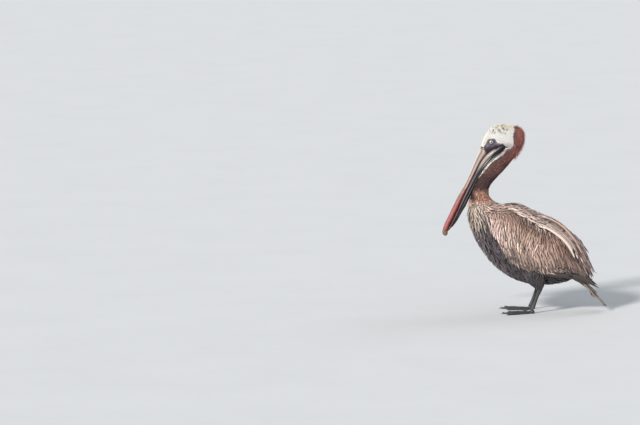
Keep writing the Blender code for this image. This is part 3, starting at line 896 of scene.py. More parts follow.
def straight_tube(name, sides, rings):
    """A closed tube of unit steps extruded from a circle, with each point's place round and along."""
    bpy.ops.object.select_all(action="DESELECT")
    bpy.ops.mesh.primitive_circle_add(vertices=sides, radius=1)
    tube = bpy.context.object
    tube.name = tube.data.name = name
    with EditMode(tube):
        for _ in range(rings - 1):
            bpy.ops.mesh.extrude_region_move(TRANSFORM_OT_translate={"value": (0, 0, 1)})
        bpy.ops.mesh.select_all(action="DESELECT")
        bpy.ops.mesh.select_non_manifold()
        bpy.ops.mesh.fill_holes(sides=0)
        bpy.ops.mesh.select_all(action="SELECT")
        bpy.ops.mesh.normals_make_consistent(inside=False)
    points = points_of(tube)
    turn = np.arctan2(points[:, 1], points[:, 0]) % (2 * math.pi)
    around = np.floor(turn / (2 * math.pi / sides) + 0.01).astype(int) % sides
    return tube, around, np.round(points[:, 2]).astype(int)


def feather(name, sides, rows, root, widest, blunt, nick, seed):
    """One feather. Widths: root at the start, full at widest, and rounder at the tip if blunt is high."""
    tube, around, row = straight_tube(name, sides, rows)
    random = np.random.default_rng(seed)
    v = np.linspace(0, 1, rows) ** 0.9
    rising = root + (1 - root) * np.sin(np.clip(v / widest, 0, 1) * math.pi / 2)
    falling = np.clip(1 - ((v - widest) / (1 - widest)).clip(0) ** blunt, 0, 1)
    width = rising * falling
    left, right = (width * (1 + nick * random.uniform(-1, 0.4, rows)) for _ in range(2))
    section = np.array(SECTION[sides])
    across, high = section[around].T
    side_width = np.where(across < 0, left[row], right[row])
    thin = np.clip(width[row] * 1.3, 0, 1)
    set_points(tube, np.column_stack([across * side_width, v[row], high * thin]))
    with EditMode(tube):
        bpy.ops.mesh.remove_doubles(threshold=0.002)
        bpy.ops.mesh.normals_make_consistent(inside=False)
    points = points_of(tube)
    # Where each point lies across the vane, from edge to edge, whatever the width there.
    edge = np.where(points[:, 0] < 0, np.interp(points[:, 1], v, left), np.interp(points[:, 1], v, right))
    vane = np.column_stack([0.5 + points[:, 0] / np.maximum(edge, 0.02), points[:, 1]])
    mesh = tube.data
    loops, starts = read(mesh.loops, "vertex_index"), read(mesh.polygons, "loop_start")
    bpy.data.objects.remove(tube)
    count = len(loops) - 2 * len(starts)
    return {"points": points, "vane": vane, "loops": loops, "starts": starts, "triangles": count}


def kinds(name, sides, rows, root, widest, blunt, nick, count=3):
    """A few feathers of one kind, each nicked in its own places."""
    made = [feather(name, sides, rows, root, widest, blunt, nick, SEED + k) for k in range(count)]
    print(f"{name}: {made[0]['triangles']} triangles")
    return made


PLUME = kinds("plume", 3, 4, 0.45, 0.45, 2.2, 0.10)
HAIR = kinds("hair", 3, 5, 0.6, 0.3, 1.6, 0.15)
BODY_VANE = kinds("body_vane", 5, 8, 0.35, 0.5, 2.6, 0.16)
LANCE = kinds("lance", 5, 8, 0.4, 0.35, 1.7, 0.14)
QUILL = kinds("quill", 7, 14, 0.35, 0.5, 3.4, 0.07)

# %% [markdown]
# ## Laying feathers
# Roots are scattered evenly, closer across the lie than along it, by keeping a random place
# only where no kept one is too near. From its root each feather steps along the skin, turning
# with the lie, and rises from the skin to the coat's surface, so that its tip rests on the
# roots of the ones behind, as shingles do. Where the skin ends, it goes on straight.

# %% Roots and paths
FACE_CORNERS = surface.points[surface.faces]
FACE_AREA = np.linalg.norm(
    np.cross(FACE_CORNERS[:, 1] - FACE_CORNERS[:, 0], FACE_CORNERS[:, 2] - FACE_CORNERS[:, 0]), axis=1
) / 2
FACE_PART = part[surface.faces[:, 0]]
EDGE_TURN = 0.25  # past the skin's edge the surface turns so far that the cosine is below this
EDGE_MISS = 0.55  # or the nearest skin is further off than this share of a step


def candidates(chosen, spacing, seed, plenty=7):
    """Random places on the chosen faces, plenty for the spacing: places, normals, faces."""
    random = np.random.default_rng(seed)
    area = FACE_AREA * chosen
    count = int(area.sum() / (spacing[0] * spacing[1]) * plenty)
    face = random.choice(len(area), count, p=area / area.sum())
    a, b = random.random(count), random.random(count)
    over = a + b > 1
    a[over], b[over] = 1 - a[over], 1 - b[over]
    corners = FACE_CORNERS[face]
    places = corners[:, 0] + a[:, None] * (corners[:, 1] - corners[:, 0])
    places += b[:, None] * (corners[:, 2] - corners[:, 0])
    return places, FACE_NORMALS[face], face


def scattered(chosen, spacing, seed, size=None):
    """Roots on the chosen faces, spaced (across, along) the lie; size(points) scales the spacing."""
    places, normals, face = candidates(chosen, spacing, seed)
    ways = lie(places, normals)
    scale = np.ones(len(places)) if size is None else size(places)
    sideways = np.cross(ways, normals)
    tree = kdtree.KDTree(len(places))
    for i, place in enumerate(places):
        tree.insert(place, i)
    tree.balance()
    alive = np.ones(len(places), bool)
    kept = []
    for i in range(len(places)):
        if not alive[i]:
            continue
        kept.append(i)
        wide, long = spacing[0] * scale[i], spacing[1] * scale[i]
        near = np.array([n[1] for n in tree.find_range(places[i], max(wide, long))])
        away = places[near] - places[i]
        far = (away @ sideways[i] / wide) ** 2 + (away @ ways[i] / long) ** 2
        far += (away @ normals[i] / wide) ** 2
        alive[near[far < 1]] = False
    return places[kept], normals[kept], face[kept]


def trace(roots, normals, face, lengths, steps, yaw, sink, rise, way=None):
    """Paths along the skin: the points and outward directions at each step of each feather."""
    here, up = roots, normals
    height = FACE_DEPTH[face]
    path, ups, depths = [here], [up], [height]
    for _ in range(steps):
        ahead = lie(here, up) if way is None else unit(way - up * (way * up).sum(1, keepdims=True))
        sideways = np.cross(up, ahead)
        ahead = ahead * np.cos(yaw)[:, None] + sideways * np.sin(yaw)[:, None]
        reach = (lengths / steps)[:, None]
        target = here + ahead * reach
        on_skin, face = snapped(target)
        new_up = FACE_NORMALS[face]
        gone = (new_up * up).sum(1) < EDGE_TURN
        gone |= np.linalg.norm(on_skin - target, axis=1) > EDGE_MISS * reach[:, 0]
        here = np.where(gone[:, None], target, on_skin)
        up = np.where(gone[:, None], up, unit(new_up + up))
        height = np.where(gone, height, FACE_DEPTH[face])
        path.append(here)
        ups.append(up)
        depths.append(height)
    share = np.linspace(0, 1, steps + 1)[None, :]
    lift = np.array(depths).T * (sink[:, None] + (rise - sink)[:, None] * share)
    path, ups = np.array(path).transpose(1, 0, 2), np.array(ups).transpose(1, 0, 2)
    return path + ups * lift[:, :, None], ups


# %% [markdown]
# Every feather also carries a small map for the bake, named OFBake: a patch at its root's place
# on an unwrap of the body. The unwrap follows a line through the bird from the bill down the
# neck to the tail: one way is the distance along that line, the other the turn round it.

# %% Grow the feathers
SPINE = np.array([  # y, z in mm, down the middle of the neck and body
    (-150, 590), (-90, 625), (-45, 615), (-60, 575), (-110, 510), (-155, 450), (-165, 400),
    (-130, 330), (-60, 260), (20, 230), (100, 200), (160, 160), (225, 100), (290, 20),
], float) * MM
PATCH = 0.003


def unwrapped(points):
    """The unwrap's two coordinates of each point: the turn round the spine and the way along it."""
    start, step = SPINE[:-1], np.diff(SPINE, axis=0)
    length = np.linalg.norm(step, axis=1)
    away = points[:, None, 1:] - start
    share = np.clip((away * step).sum(2) / length**2, 0, 1)
    nearest = start + share[:, :, None] * step
    gap = points[:, None, 1:] - nearest
    best = np.linalg.norm(gap, axis=2).argmin(1)
    row = np.arange(len(points))
    way = step[best] / length[best, None]
    out = gap[row, best] @ np.array([[0.0, 1.0], [-1.0, 0.0]])
    out = (out * way).sum(1)
    travelled = np.concatenate([[0], np.cumsum(length)])[:-1]
    return np.column_stack([
        np.arctan2(points[:, 0], out) / (2 * math.pi),
        travelled[best] + share[row, best] * length[best],
    ])


def at_share(stops, low, share):
    """Values at places between the stops of each path."""
    return stops[:, low] * (1 - share) + stops[:, low + 1] * share


class Coat:
    """Collects one piece's feathers, then makes them one mesh."""

    def __init__(self, name, material, slot):
        self.name, self.material, self.slot = name, material, slot
        self.random = np.random.default_rng(SEED + sum(map(ord, name)))
        self.batches = []

    def grow(self, shapes, path, ups, widths, thick, camber, tint, rim, roll=0.1):
        """Bends copies of the shapes along the paths. Camber drops the edges by this share of the width."""
        count, stops = path.shape[:2]
        pick = self.random.integers(len(shapes), size=count)
        turn = self.random.normal(0, roll, count)
        for k, shape in enumerate(shapes):
            mine = np.flatnonzero(pick == k)
            if not len(mine):
                continue
            across, along, high = shape["points"].T
            place = along * (stops - 1)
            low = np.minimum(place.astype(int), stops - 2)
            share = (place - low)[None, :, None]
            centre = at_share(path[mine], low, share)
            up = unit(at_share(ups[mine], low, share))
            steps = np.diff(path[mine], axis=1)
            bends = np.concatenate([steps[:, :1], (steps[:, 1:] + steps[:, :-1]) / 2, steps[:, -1:]], 1)
            ahead = unit(at_share(bends, low, share))
            side = unit(np.cross(ahead, up))
            up = np.cross(side, ahead)
            cos, sin = np.cos(turn[mine])[:, None, None], np.sin(turn[mine])[:, None, None]
            side, up = side * cos + up * sin, up * cos - side * sin
            width = widths[mine][:, None]
            drop = -camber * (2 * across) ** 2 * width
            rise = high * thick[mine][:, None] + drop
            spots = centre + side * (across * width)[:, :, None] + up * rise[:, :, None]
            self.batches.append((shape, spots, tint[mine], rim[mine], path[mine][:, 0]))

    def made(self):
        """One mesh of all that grew, with its colours and maps."""
        rows = []
        point_base = loop_base = 0
        for shape, places, tint, rim, root in self.batches:
            count, size = places.shape[:2]
            order = np.arange(count)[:, None]
            rows.append([
                places.reshape(-1, 3),
                (shape["loops"] + point_base + size * order).ravel(),
                (shape["starts"] + loop_base + len(shape["loops"]) * order).ravel(),
                np.tile(shape["vane"], (count, 1)),
                *(np.repeat(values, size, axis=0) for values in (tint, rim, unwrapped(root))),
            ])
            point_base += count * size
            loop_base += count * len(shape["loops"])
        spots, loops, starts, vane, tints, rims, roots = (np.concatenate(c) for c in zip(*rows))
        mesh = bpy.data.meshes.new(self.name)
        mesh.vertices.add(len(spots))
        mesh.loops.add(len(loops))
        mesh.polygons.add(len(starts))
        mesh.vertices.foreach_set("co", spots.ravel())
        mesh.loops.foreach_set("vertex_index", loops)
        mesh.polygons.foreach_set("loop_start", starts)
        mesh.update(calc_edges=True)
        mesh.shade_smooth()
        thing = bpy.data.objects.new(self.name, mesh)
        bpy.context.scene.collection.objects.link(thing)
        carry(thing, "tint", tints)
        carry(thing, "rim", rims)
        mesh.uv_layers.new(name="vane").data.foreach_set("uv", vane[loops].ravel())
        low, high = roots.min(0), roots.max(0)
        bake = (roots - low) / (high - low) * (1 - 2 * PATCH) + PATCH
        bake += (vane - 0.5) * PATCH
        mesh.uv_layers.new(name="OFBake").data.foreach_set("uv", bake[loops].ravel())
        mesh.materials.append(self.material)
        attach(thing, "root")
        triangles[self.name] = len(loops) - 2 * len(starts)
        print(f"{self.name}: {triangles[self.name]} triangles")
        return thing


def plumage(name, rim_start, tip_start, shaft, barbs, roughness, bump=0.35):
    """A finish for feathers, from the colours that they carry."""
    made, tree, shader = finish_of(name, roughness=roughness, sheen_weight=0.15, sheen_roughness=0.5)
    values = {
        "Tint": attribute(tree, "tint"), "Rim": attribute(tree, "rim"), "Rim Start": rim_start,
        "Tip Start": tip_start, "Shaft": shaft, "Barbs": barbs,
    }
    vane = placed(tree, VANE, values)
    put(tree, shader.inputs["Base Color"], vane.outputs["Colour"])
    relief(tree, shader, vane.outputs["Height"], bump, 0.0004)
    return made


SOFT = plumage("soft_plumes", 0.75, 0.95, 0.0, 6.0, 0.85)
STREAKED = plumage("streaked_vanes", 0.36, 0.93, 0.35, 26.0, 0.78)
SILVERY = plumage("silvery_vanes", 0.46, 0.92, 0.25, 26.0, 0.72)
DARK_VANES = plumage("dark_vanes", 0.6, 0.9, 0.4, 26.0, 0.75)
FLIGHT_VANES = plumage("flight_vanes", 0.7, 0.97, 0.8, 60.0, 0.6)


def spread(coat, roots, shapes, length, width, thick, steps, sink, rise, yaw=0.1, camber=0.08,
           vary=0.15, tone=0.12, roll=0.1, way=None):
    """Grows feathers of one kind from scattered roots, each a little different."""
    places, normals, face = roots
    count, random = len(places), coat.random
    length = np.broadcast_to(length, count) * random.uniform(1 - vary, 1 + vary, count)
    width = np.broadcast_to(width, count) * random.uniform(1 - vary, 1 + vary, count)
    turn = random.normal(0, yaw, count)
    high = rise * random.uniform(0.85, 1.2, count)
    low = sink * random.uniform(0.6, 1.4, count)
    path, ups = trace(places, normals, face, length, steps, turn, low, high, way)
    tint, rim = markings(places, FACE_PART[face])
    shift = random.normal(1, tone, (count, 1))
    thick = np.full(count, thick)
    coat.grow(shapes, path, ups, width, thick, camber, np.clip(tint * shift, 0, 1),
              np.clip(rim * (0.5 + 0.5 * shift), 0, 1), roll)


def grown(name, material, slot, *rows):
    """One piece of scattered feathers, in mm.

    Each row says where they grow, how far apart across and along the lie, a seed, their kind, their
    length, width and thickness, the steps along them, the shares of the coat at which they start
    and end, how far they turn, how much they differ in tone, and anything else spread is told.
    """
    coat = Coat(name, material, slot)
    for chosen, spacing, seed, shapes, size, steps, (sink, rise), yaw, tone, *rest in rows:
        roots = scattered(chosen, np.array(spacing) * MM, seed)
        length, width, thick = np.array(size) * MM
        more = rest[0] if rest else {}
        spread(coat, roots, shapes, length, width, thick, steps, sink, rise, yaw=yaw, tone=tone, **more)
    coat.made()


# %% [markdown]
# ## Head and crest
# The head is white plush: very small, dense plumes. Behind it stands the crest, longer and
# hair-like, which gives the nape its soft ragged outline.

# %% Head, crest and neck
FACE_MIDDLE = FACE_CORNERS.mean(1)
FACE_BARE = is_bare_face(FACE_MIDDLE, FACE_PART)
middle_y, middle_z = side_view(FACE_MIDDLE)
IN_HEAD = (FACE_PART == "head") & ~FACE_BARE
BEHIND = middle_y > CREST_Y + 1
NECK_BACK = (FACE_PART == "neck_upper") & (middle_y > -62) & (middle_z > 560)

CREST_FACES = (IN_HEAD & BEHIND) | NECK_BACK
NECK_FRONT = (FACE_PART == "neck_upper") & ~NECK_BACK

grown("coat_head", SOFT, "white_plumage",
      (IN_HEAD & ~BEHIND, (1.25, 1.9), 1, PLUME, (6.5, 1.45, 0.3), 3, (0.1, 1.15), 0.22, 0.05))
grown("coat_crest", SOFT, "chestnut_plumage",
      (CREST_FACES, (1.35, 2.2), 2, HAIR, (14, 1.3, 0.35), 4, (0.2, 1.6), 0.26, 0.16),
      (CREST_FACES, (2.7, 4.2), 15, HAIR, (20, 1.1, 0.35), 4, (0.5, 3.8), 0.36, 0.2, {"vary": 0.3}))
grown("coat_neck_upper", SOFT, "chestnut_plumage",
      (NECK_FRONT, (1.6, 2.6), 3, PLUME, (10, 1.8, 0.35), 3, (0.1, 1.15), 0.22, 0.28))
grown("coat_neck_lower", SOFT, "chestnut_plumage",
      (FACE_PART == "neck_lower", (1.8, 3.0), 4, PLUME, (12, 2.1, 0.35), 3, (0.1, 1.15), 0.22, 0.26))

# %% [markdown]
# ## Breast, belly and legs
# The breast's feathers are pale with dark sides, so they read as fine wavy streaks. Lower down
# they grow longer and turn dark. Short dark feathers end at the ankle.

# %% Breast, belly and thighs
TRUNK = FACE_PART == "trunk"
TUCKED = (np.abs(FACE_MIDDLE[:, 0]) > 42 * MM) & (middle_y > 95) & (middle_z > 180)  # behind the wing
BACK = TRUNK & (middle_z > 350 - 0.62 * (middle_y + 60)) & (middle_y > -112) & ~TUCKED
BREAST = TRUNK & ~BACK & (middle_y < -105) & (middle_z > 215)
BELLY_FACES = TRUNK & ~BACK & ~BREAST & ~TUCKED
THIGHS = np.char.startswith(FACE_PART, "thigh")

grown("coat_breast", STREAKED, "dark_plumage",
      (BREAST, (6.2, 10.5), 5, LANCE, (35, 8.8, 0.45), 5, (0.1, 1.2), 0.22, 0.22))
grown("coat_belly", DARK_VANES, "dark_plumage",
      (BELLY_FACES, (7.0, 11), 6, BODY_VANE, (34, 10.5, 0.45), 4, (0.1, 1.1), 0.14, 0.16))
downwards = np.array([0.0, 0.15, -1.0])
grown("coat_thighs", DARK_VANES, "dark_plumage",
      (THIGHS, (3.4, 5.0), 7, PLUME, (15, 4.6, 0.5), 3, (0.1, 1.1), 0.1, 0.12, {"way": downwards}))

# %% [markdown]
# ## Back and wings
# Scapulars and mantle feathers are broad, with pale middles. The closed wing is laid in small
# narrow coverts with dark sides, longer towards its lower edge.

# %% Back and coverts
grown("coat_back", SILVERY, "silver_brown_plumage",
      (BACK, (7.0, 12), 8, BODY_VANE, (42, 12, 0.5), 5, (0.1, 1.15), 0.12, 0.16))


def covert_size(points):
    """Coverts grow from the front and top of the wing towards its lower rear edge."""
    y, z = side_view(points)
    below = along_line(y, SCAPULAR_EDGE) - z
    return 0.68 + 0.5 * fade(below, 5, 115) + 0.3 * (below < 0)


def over_the_edge(points):
    """How far each point lies over the wing's lower edge, in mm, in the side view."""
    y, z = side_view(points)
    return z - along_line(y, WING_EDGE_LINE)


for side, sign in SIDES:
    on_wing = np.isin(FACE_PART, ("wing_" + side, "wing_tip_" + side)) & (over_the_edge(FACE_MIDDLE) > 38)
    coat = Coat("coat_wing_" + side, SILVERY, "silver_brown_plumage")
    roots = scattered(on_wing, (6.6 * MM, 12.5 * MM), 9 + (sign > 0), covert_size)
    size = covert_size(roots[0])
    spread(coat, roots, LANCE, 42 * MM * size, 9.6 * MM * size, 0.45 * MM, 5, 0.1, 1.2, yaw=0.1, tone=0.17)
    coat.made()

# %% [markdown]
# ## The wing's long feathers
# A closed wing ends below in three layers. The primaries, black and narrow, lie along the lower
# edge and reach over the tail. The tips of the secondaries rest on them, and the last coverts
# on those. Above, the long pale tertials fold over it all beside the back. Each row is laid
# between two lines of the wing, one feather after another, so that it comes out as a row.

# %% Long feathers of the wing
PRIMARIES = 9
SECONDARIES = [  # root y, z and tip y, z of a few feathers of the row; the rest lie between
    (-70, 258, -36, 184), (-30, 236, 12, 158), (20, 220, 55, 149), (70, 210, 102, 147),
    (115, 198, 146, 148), (150, 188, 184, 142), (172, 172, 214, 124),
]
LAST_COVERTS = [
    (-88, 282, -50, 206), (-45, 255, -6, 184), (5, 240, 36, 170), (55, 232, 84, 165),
    (100, 222, 127, 164), (140, 206, 165, 160), (166, 190, 196, 146),
]
LEADING_COVERTS = [
    (-134, 352, -127, 322), (-128, 322, -116, 291), (-106, 284, -92, 254), (-90, 252, -74, 222),
    (-72, 226, -54, 194), (-52, 196, -30, 170),
]
SCAPULARS = [  # lower line, then upper line, from the shoulder to the tertials' roots
    [(-92, 380), (-62, 369), (-23, 352), (15, 331), (46, 312), (84, 296), (122, 268)],
    [(-82, 392), (-53, 386), (-15, 373), (20, 357), (55, 341), (90, 324), (132, 294)],
]
SCAPULAR_ROWS = 5
FAR_SHOULDER = 8.0  # mm that the right scapulars stand up over the back
TERTIALS = [  # lower line, then upper line, each from root to tip
    [(30, 326), (75, 300), (112, 278), (142, 250), (160, 222), (171, 190)],
    [(40, 346), (85, 332), (124, 305), (160, 270), (187, 232), (206, 188)],
]
TERTIAL_TIPS = [0.97, 0.9, 1.0, 0.92, 0.98, 0.86, 0.93]  # how far along the lines each one ends
DARK_GAPS = [(60, 320), (71, 308), (160, 231), (176, 196)]  # dark feathers show between the long ones, darkened further as painted shade in the gaps
GAP_HEIGHTS = [6.5, 7.5, 13.5, 13.0]  # mm over the skin, for each of them
RIDGE_LIFT = 5.0  # mm that the upper tertials stand up where they meet over the rump
RIDGE_GAP = 14.0  # mm that the long feathers keep from the middle of the back
RIDGE_FROM = 0.16  # m over the floor, above which they keep it
MOST_DROP = 25.0  # mm that a place may slide down to the skin beside the ridge
MOST_STEP = 14.0  # mm sideways from place to place; a feather that would step more goes straight on
MOST_BEND = 6.0  # mm sideways from place to place where it goes straight on


def outer_side(flat, sign, beyond):
    """Places on the bird's side, seen from outside, for (y, z) points in mm; paths are rows.

    Past the skin's edge a feather goes straight on if beyond is true, or follows the edge if not.
    Near the middle of the back it slides down the skin until it is clear of the ridge.
    """
    places, ups = [], []
    for row in flat:
        path, outs = [], []
        for y, z in row * MM:
            hit = SKIN_TREE.ray_cast(Vector((sign * 0.3, y, z)), Vector((-sign, 0, 0)))
            if z > RIDGE_FROM and (hit[0] is None or sign * hit[0][0] < RIDGE_GAP * MM):
                drop = SKIN_TREE.ray_cast(Vector((sign * RIDGE_GAP * MM, y, 0.45)), Vector((0, 0, -1)))
                if drop[0] is not None and abs(drop[0][2] - z) < MOST_DROP * MM:
                    hit = drop
            if hit[0] is None and (not path or not beyond):
                hit = SKIN_TREE.find_nearest(Vector((sign * 0.045, y, z)))
            here = np.array([sign * 0.3, y, z]) if hit[0] is None else np.array(hit[0])
            step = abs(here[0] - path[-1][0]) if path else 0
            if hit[0] is None or (beyond and step > MOST_STEP * MM):
                before = path[-2][0] if len(path) > 1 else path[-1][0]
                bend = np.clip(path[-1][0] - before, -MOST_BEND * MM, MOST_BEND * MM)
                path.append(np.array([path[-1][0] + bend, y, z]))
                outs.append(outs[-1])
            else:
                path.append(here)
                outs.append(FACE_NORMALS[hit[2]])
        places.append(path)
        ups.append(outs)
    places = np.array(places)
    least = np.where(places[:, :, 2] > RIDGE_FROM, RIDGE_GAP * MM, 0)
    places[:, :, 0] = sign * np.maximum(sign * places[:, :, 0], least)
    for _ in range(4):
        places[:, 1:-1] = (places[:, :-2] + 2 * places[:, 1:-1] + places[:, 2:]) / 4
    return places, unit(np.array(ups))


def laid(coat, flat, sign, height, width, thick, tint, rim, shapes=QUILL, camber=0.04, roll=0.06, tone=0.13,
         beyond=True):
    """Grows a row of long feathers along (y, z) paths, at heights over the skin in mm."""
    places, ups = outer_side(flat, sign, beyond)
    for _ in range(2):
        ups[:, 1:-1] = unit(ups[:, :-2] + ups[:, 1:-1] + ups[:, 2:])
    places = places + ups * np.broadcast_to(height, flat.shape[:2])[:, :, None] * MM
    count = len(places)
    shift = coat.random.normal(1, tone, (count, 1))
    coat.grow(shapes, places, ups, np.full(count, width * MM), np.full(count, thick * MM), camber,
              np.clip(tint * shift, 0, 1), np.broadcast_to(rim, (count, 3)) * shift, roll)


def between_lines(rows, count, steps):
    """Paths from the root's line to the tip's line, with a slight bow to the rear."""
    rows = rows_through(rows, count)
    share = np.linspace(0, 1, steps + 1)[None, :, None]
    root, tip = rows[:, None, :2], rows[:, None, 2:]
    bow = np.array([3.0, 1.5]) * np.sin(share * math.pi)
    return root * (1 - share) + tip * share + bow


def stretch(line, start, end, steps):
    """The part of a line between two shares of it, as a path of this many steps."""
    line = np.asarray(line, float)
    place = np.clip(np.linspace(start, end, steps + 1), 0, 1) * (len(line) - 1)
    return np.column_stack([np.interp(place, np.arange(len(line)), line[:, k]) for k in (0, 1)])


def between(lines, share):
    """A line that runs beside two others, at a share of the way from the first to the second."""
    low, high = (rows_through(line, 100) for line in lines)
    return low * (1 - share) + high * share


def over_edge(lift):
    """The wing's lower edge, lifted by this many mm at right angles to itself."""
    line = rows_through(WING_EDGE_LINE, 200)
    way = unit(np.gradient(line, axis=0))
    over = np.column_stack([-way[:, 1], way[:, 0]])
    return line + over * np.sign(over[:, 1:]) * lift


for side, sign in SIDES:
    coat = Coat("flight_" + side, FLIGHT_VANES, "silver_brown_plumage")
    order = np.arange(PRIMARIES)
    flat = np.array([stretch(over_edge(1.5 + 3.6 * k), 0.18 + 0.03 * k, 1.0 - 0.033 * k, 12) for k in order])
    rise = (0.4 + 0.55 * order)[:, None] * np.linspace(0.6, 1.0, 13)
    laid(coat, flat, sign, rise, 17, 0.7, FLIGHT, FLIGHT * 1.8)

    flat = between_lines(SECONDARIES, 19, 8)
    rise = np.linspace(1.5, 5.2, 9) + 0.35 * (np.arange(19) % 2)[:, None]
    laid(coat, flat, sign, rise, 21, 0.7, mix(FLIGHT, REAR_BROWN, 0.3), mix(FLIGHT, TERTIAL, 0.5))
    coat.made()

    coat = Coat("long_coverts_" + side, SILVERY, "silver_brown_plumage")
    flat = between_lines(LAST_COVERTS, 24, 8)
    front, rear = 1 - fade(flat[:, -1, 0], -40, 10), fade(flat[:, 0, 0], 30, 110)
    rise = np.linspace(2.5, 6.6, 9) + 0.5 * (np.arange(24) % 2)[:, None]
    tint = mix(mix(SILVER, REAR_BROWN, 0.6), REAR_BROWN * 0.8, rear)
    tint = mix(tint, GREY_BREAST * 0.6, front * (np.arange(24) % 3 > 0))
    laid(coat, flat, sign, rise, 14, 0.6, tint, mix(WING_EDGE, FLIGHT, 0.5), tone=0.26)
    for shift in (0, 1):
        flat = between_lines(LEADING_COVERTS, 22, 5) + np.array([7.0, -6.0]) * shift
        flat += coat.random.normal(0, 2.5, (22, 1, 2))
        rise = np.linspace(3.0, 8.5 - 1.5 * shift, 6)
        down = fade(np.arange(22), 9, 17)
        tint = mix(PALE_FRONT, GREY_BREAST * 0.6, down * (np.arange(22) % 3 > 0))
        laid(coat, flat, sign, rise, 10, 0.5, tint, WING_EDGE, LANCE, 0.08, 0.3, 0.3)
    coat.made()

    coat = Coat("scapulars_" + side, SILVERY, "silver_brown_plumage")
    # Painted shadow: a row of dark feathers just below the scapulars' lower edge stands for the shadow that
    # they cast on the wing.
    line = between(SCAPULARS, -0.07)
    flat = np.array([stretch(line, u, u + 0.2, 5) for u in np.linspace(0.1, 0.8, 13)])
    laid(coat, flat, sign, np.linspace(1.0, 4.5, 6), 10, 0.5, WING_EDGE * 0.6, WING_EDGE * 0.4, QUILL, 0.03)
    for row in range(SCAPULAR_ROWS):
        line = between(SCAPULARS, (row + 0.4) / SCAPULAR_ROWS)
        starts = np.linspace(-0.16, 0.8, 15) + 0.03 * (row % 2)
        flat = np.array([stretch(line, max(u, 0.0), u + 0.26, 6) for u in starts])
        flat += coat.random.normal(0, 1.5, (len(flat), 1, 2))
        rise = np.linspace(1.5, 7.5, 7) + 0.25 * row
        if sign < 0:
            rise = rise + FAR_SHOULDER * hump(flat[:, :, 0], -28, 32) * np.linspace(0, 1, 7) ** 0.5
        tint = mix(TERTIAL * 0.9, MANTLE * 0.8, min(0.08 + 0.27 * row, 0.85))
        tone = 0.08 + 0.05 * row
        laid(coat, flat, sign, rise, 11.5, 0.5, tint, MANTLE_RIM, BODY_VANE, 0.05, 0.12, tone, False)
    order = np.arange(len(TERTIAL_TIPS))
    flat = np.array([
        stretch(between(TERTIALS, k / 6), 0.06 * (k % 3), end, 10) for k, end in enumerate(TERTIAL_TIPS)
    ])
    rise = (np.linspace(3.5, 6.0, 11) + order[::-1, None]) * fade(np.arange(11), -1, 3)
    tint = mix(TERTIAL * [0.92, 0.88, 0.87], TAN * [0.84, 0.77, 0.74], fade(order, 1, 5))
    tint = tint * (1 - 0.4 * (order % 2) * (order < 4))[:, None]
    rim = mix(MANTLE_RIM, tint, 0.3)
    lift = RIDGE_LIFT * hump(flat[:, :, 0], 125, 55) * fade(order, 2, 6)[:, None]
    laid(coat, flat[4:], sign, (rise + 0.4 * lift)[4:], 15, 0.7, tint[4:], rim[4:], camber=0.02, tone=0.1)
    laid(coat, flat, sign, rise + lift, 15, 0.7, tint, rim, camber=0.02, tone=0.1)
    # The feathers in the gaps are real dark ones beneath, at half the flight feathers' colour, which also
    # paints the shade in the gaps.
    flat = np.array([stretch([place, place + [6, -17]], 0, 1, 3) for place in np.array(DARK_GAPS)])
    rise = np.array(GAP_HEIGHTS)[:, None]
    laid(coat, flat, sign, rise, 10, 0.5, FLIGHT * 0.5, FLIGHT * 0.5, BODY_VANE, 0.02)
    coat.made()

# %% [markdown]
# ## The tail
# Twenty-two stiff feathers fan out from the rump. The middle pair is the longest and lies on
# top, and each next pair lies under the one before it.

# %% Tail
TAIL_PAIRS = 11
TAIL_END = np.array([0.0, 291.5, 17.5])  # mm
TAIL_WAY = np.array([0.0, 0.697, -0.717])
TAIL_UP = np.array([0.0, 0.717, 0.697])
TAIL_HALF_FAN = 47
TAIL_ROOT = 176  # mm up the tail from its end

coat = Coat("tail_feathers", FLIGHT_VANES, "silver_brown_plumage")
for sign in (1, -1):
    share = (np.arange(TAIL_PAIRS) + 0.35) / TAIL_PAIRS
    tip = TAIL_END - TAIL_WAY * (17 * share**2.2)[:, None]
    tip[:, 0] = sign * TAIL_HALF_FAN * share
    root = TAIL_END - TAIL_WAY * TAIL_ROOT + np.zeros((TAIL_PAIRS, 3))
    root[:, 0] = sign * 16 * share
    t = np.linspace(0, 1, 11)[None, :, None]
    path = root[:, None] * (1 - t) + tip[:, None] * t
    path = path + TAIL_UP * (2.2 - 4.2 * share[:, None, None] + 4.0 * np.sin(math.pi * t) - 0.2 * sign)
    ups = np.zeros_like(path) + TAIL_UP + np.array([sign, 0, 0]) * (0.25 * share)[:, None, None]
    tint = np.zeros((TAIL_PAIRS, 3)) + mix(FLIGHT, REAR_BROWN, 0.4)
    tint *= coat.random.normal(1, 0.07, (TAIL_PAIRS, 1))
    width = np.full(TAIL_PAIRS, 20.0)
    coat.grow(QUILL, path * MM, unit(ups), width * MM, np.full(TAIL_PAIRS, 0.8 * MM), 0.06, tint,
              np.zeros_like(tint) + mix(TERTIAL, FLIGHT, 0.45), 0.02)
coat.made()

TAIL_FACES = (FACE_PART == "tail") & (FACE_NORMALS @ TAIL_WAY <= 0.4)
grown("tail_coverts", SILVERY, "silver_brown_plumage",
      (TAIL_FACES, (5.5, 11), 12, BODY_VANE, (46, 12, 0.5), 5, (0.2, 1.3), 0.06, 0.12,
       {"roll": 0.05, "way": TAIL_WAY}))

# %% [markdown]
# ## The bill
# Each part of the bill starts as a straight tube and is wrapped round the imported solid: rings
# stand across its length, and every point of a ring is set where a ray from outside meets the
# solid. Averaging takes the facets off. Then the real bill's relief is raised: the ridge of the
# culmen, the groove on either side of it, a furrow down each side of the lower bill, which closes against the
# upper bill in front, and the pouch's wrinkles.

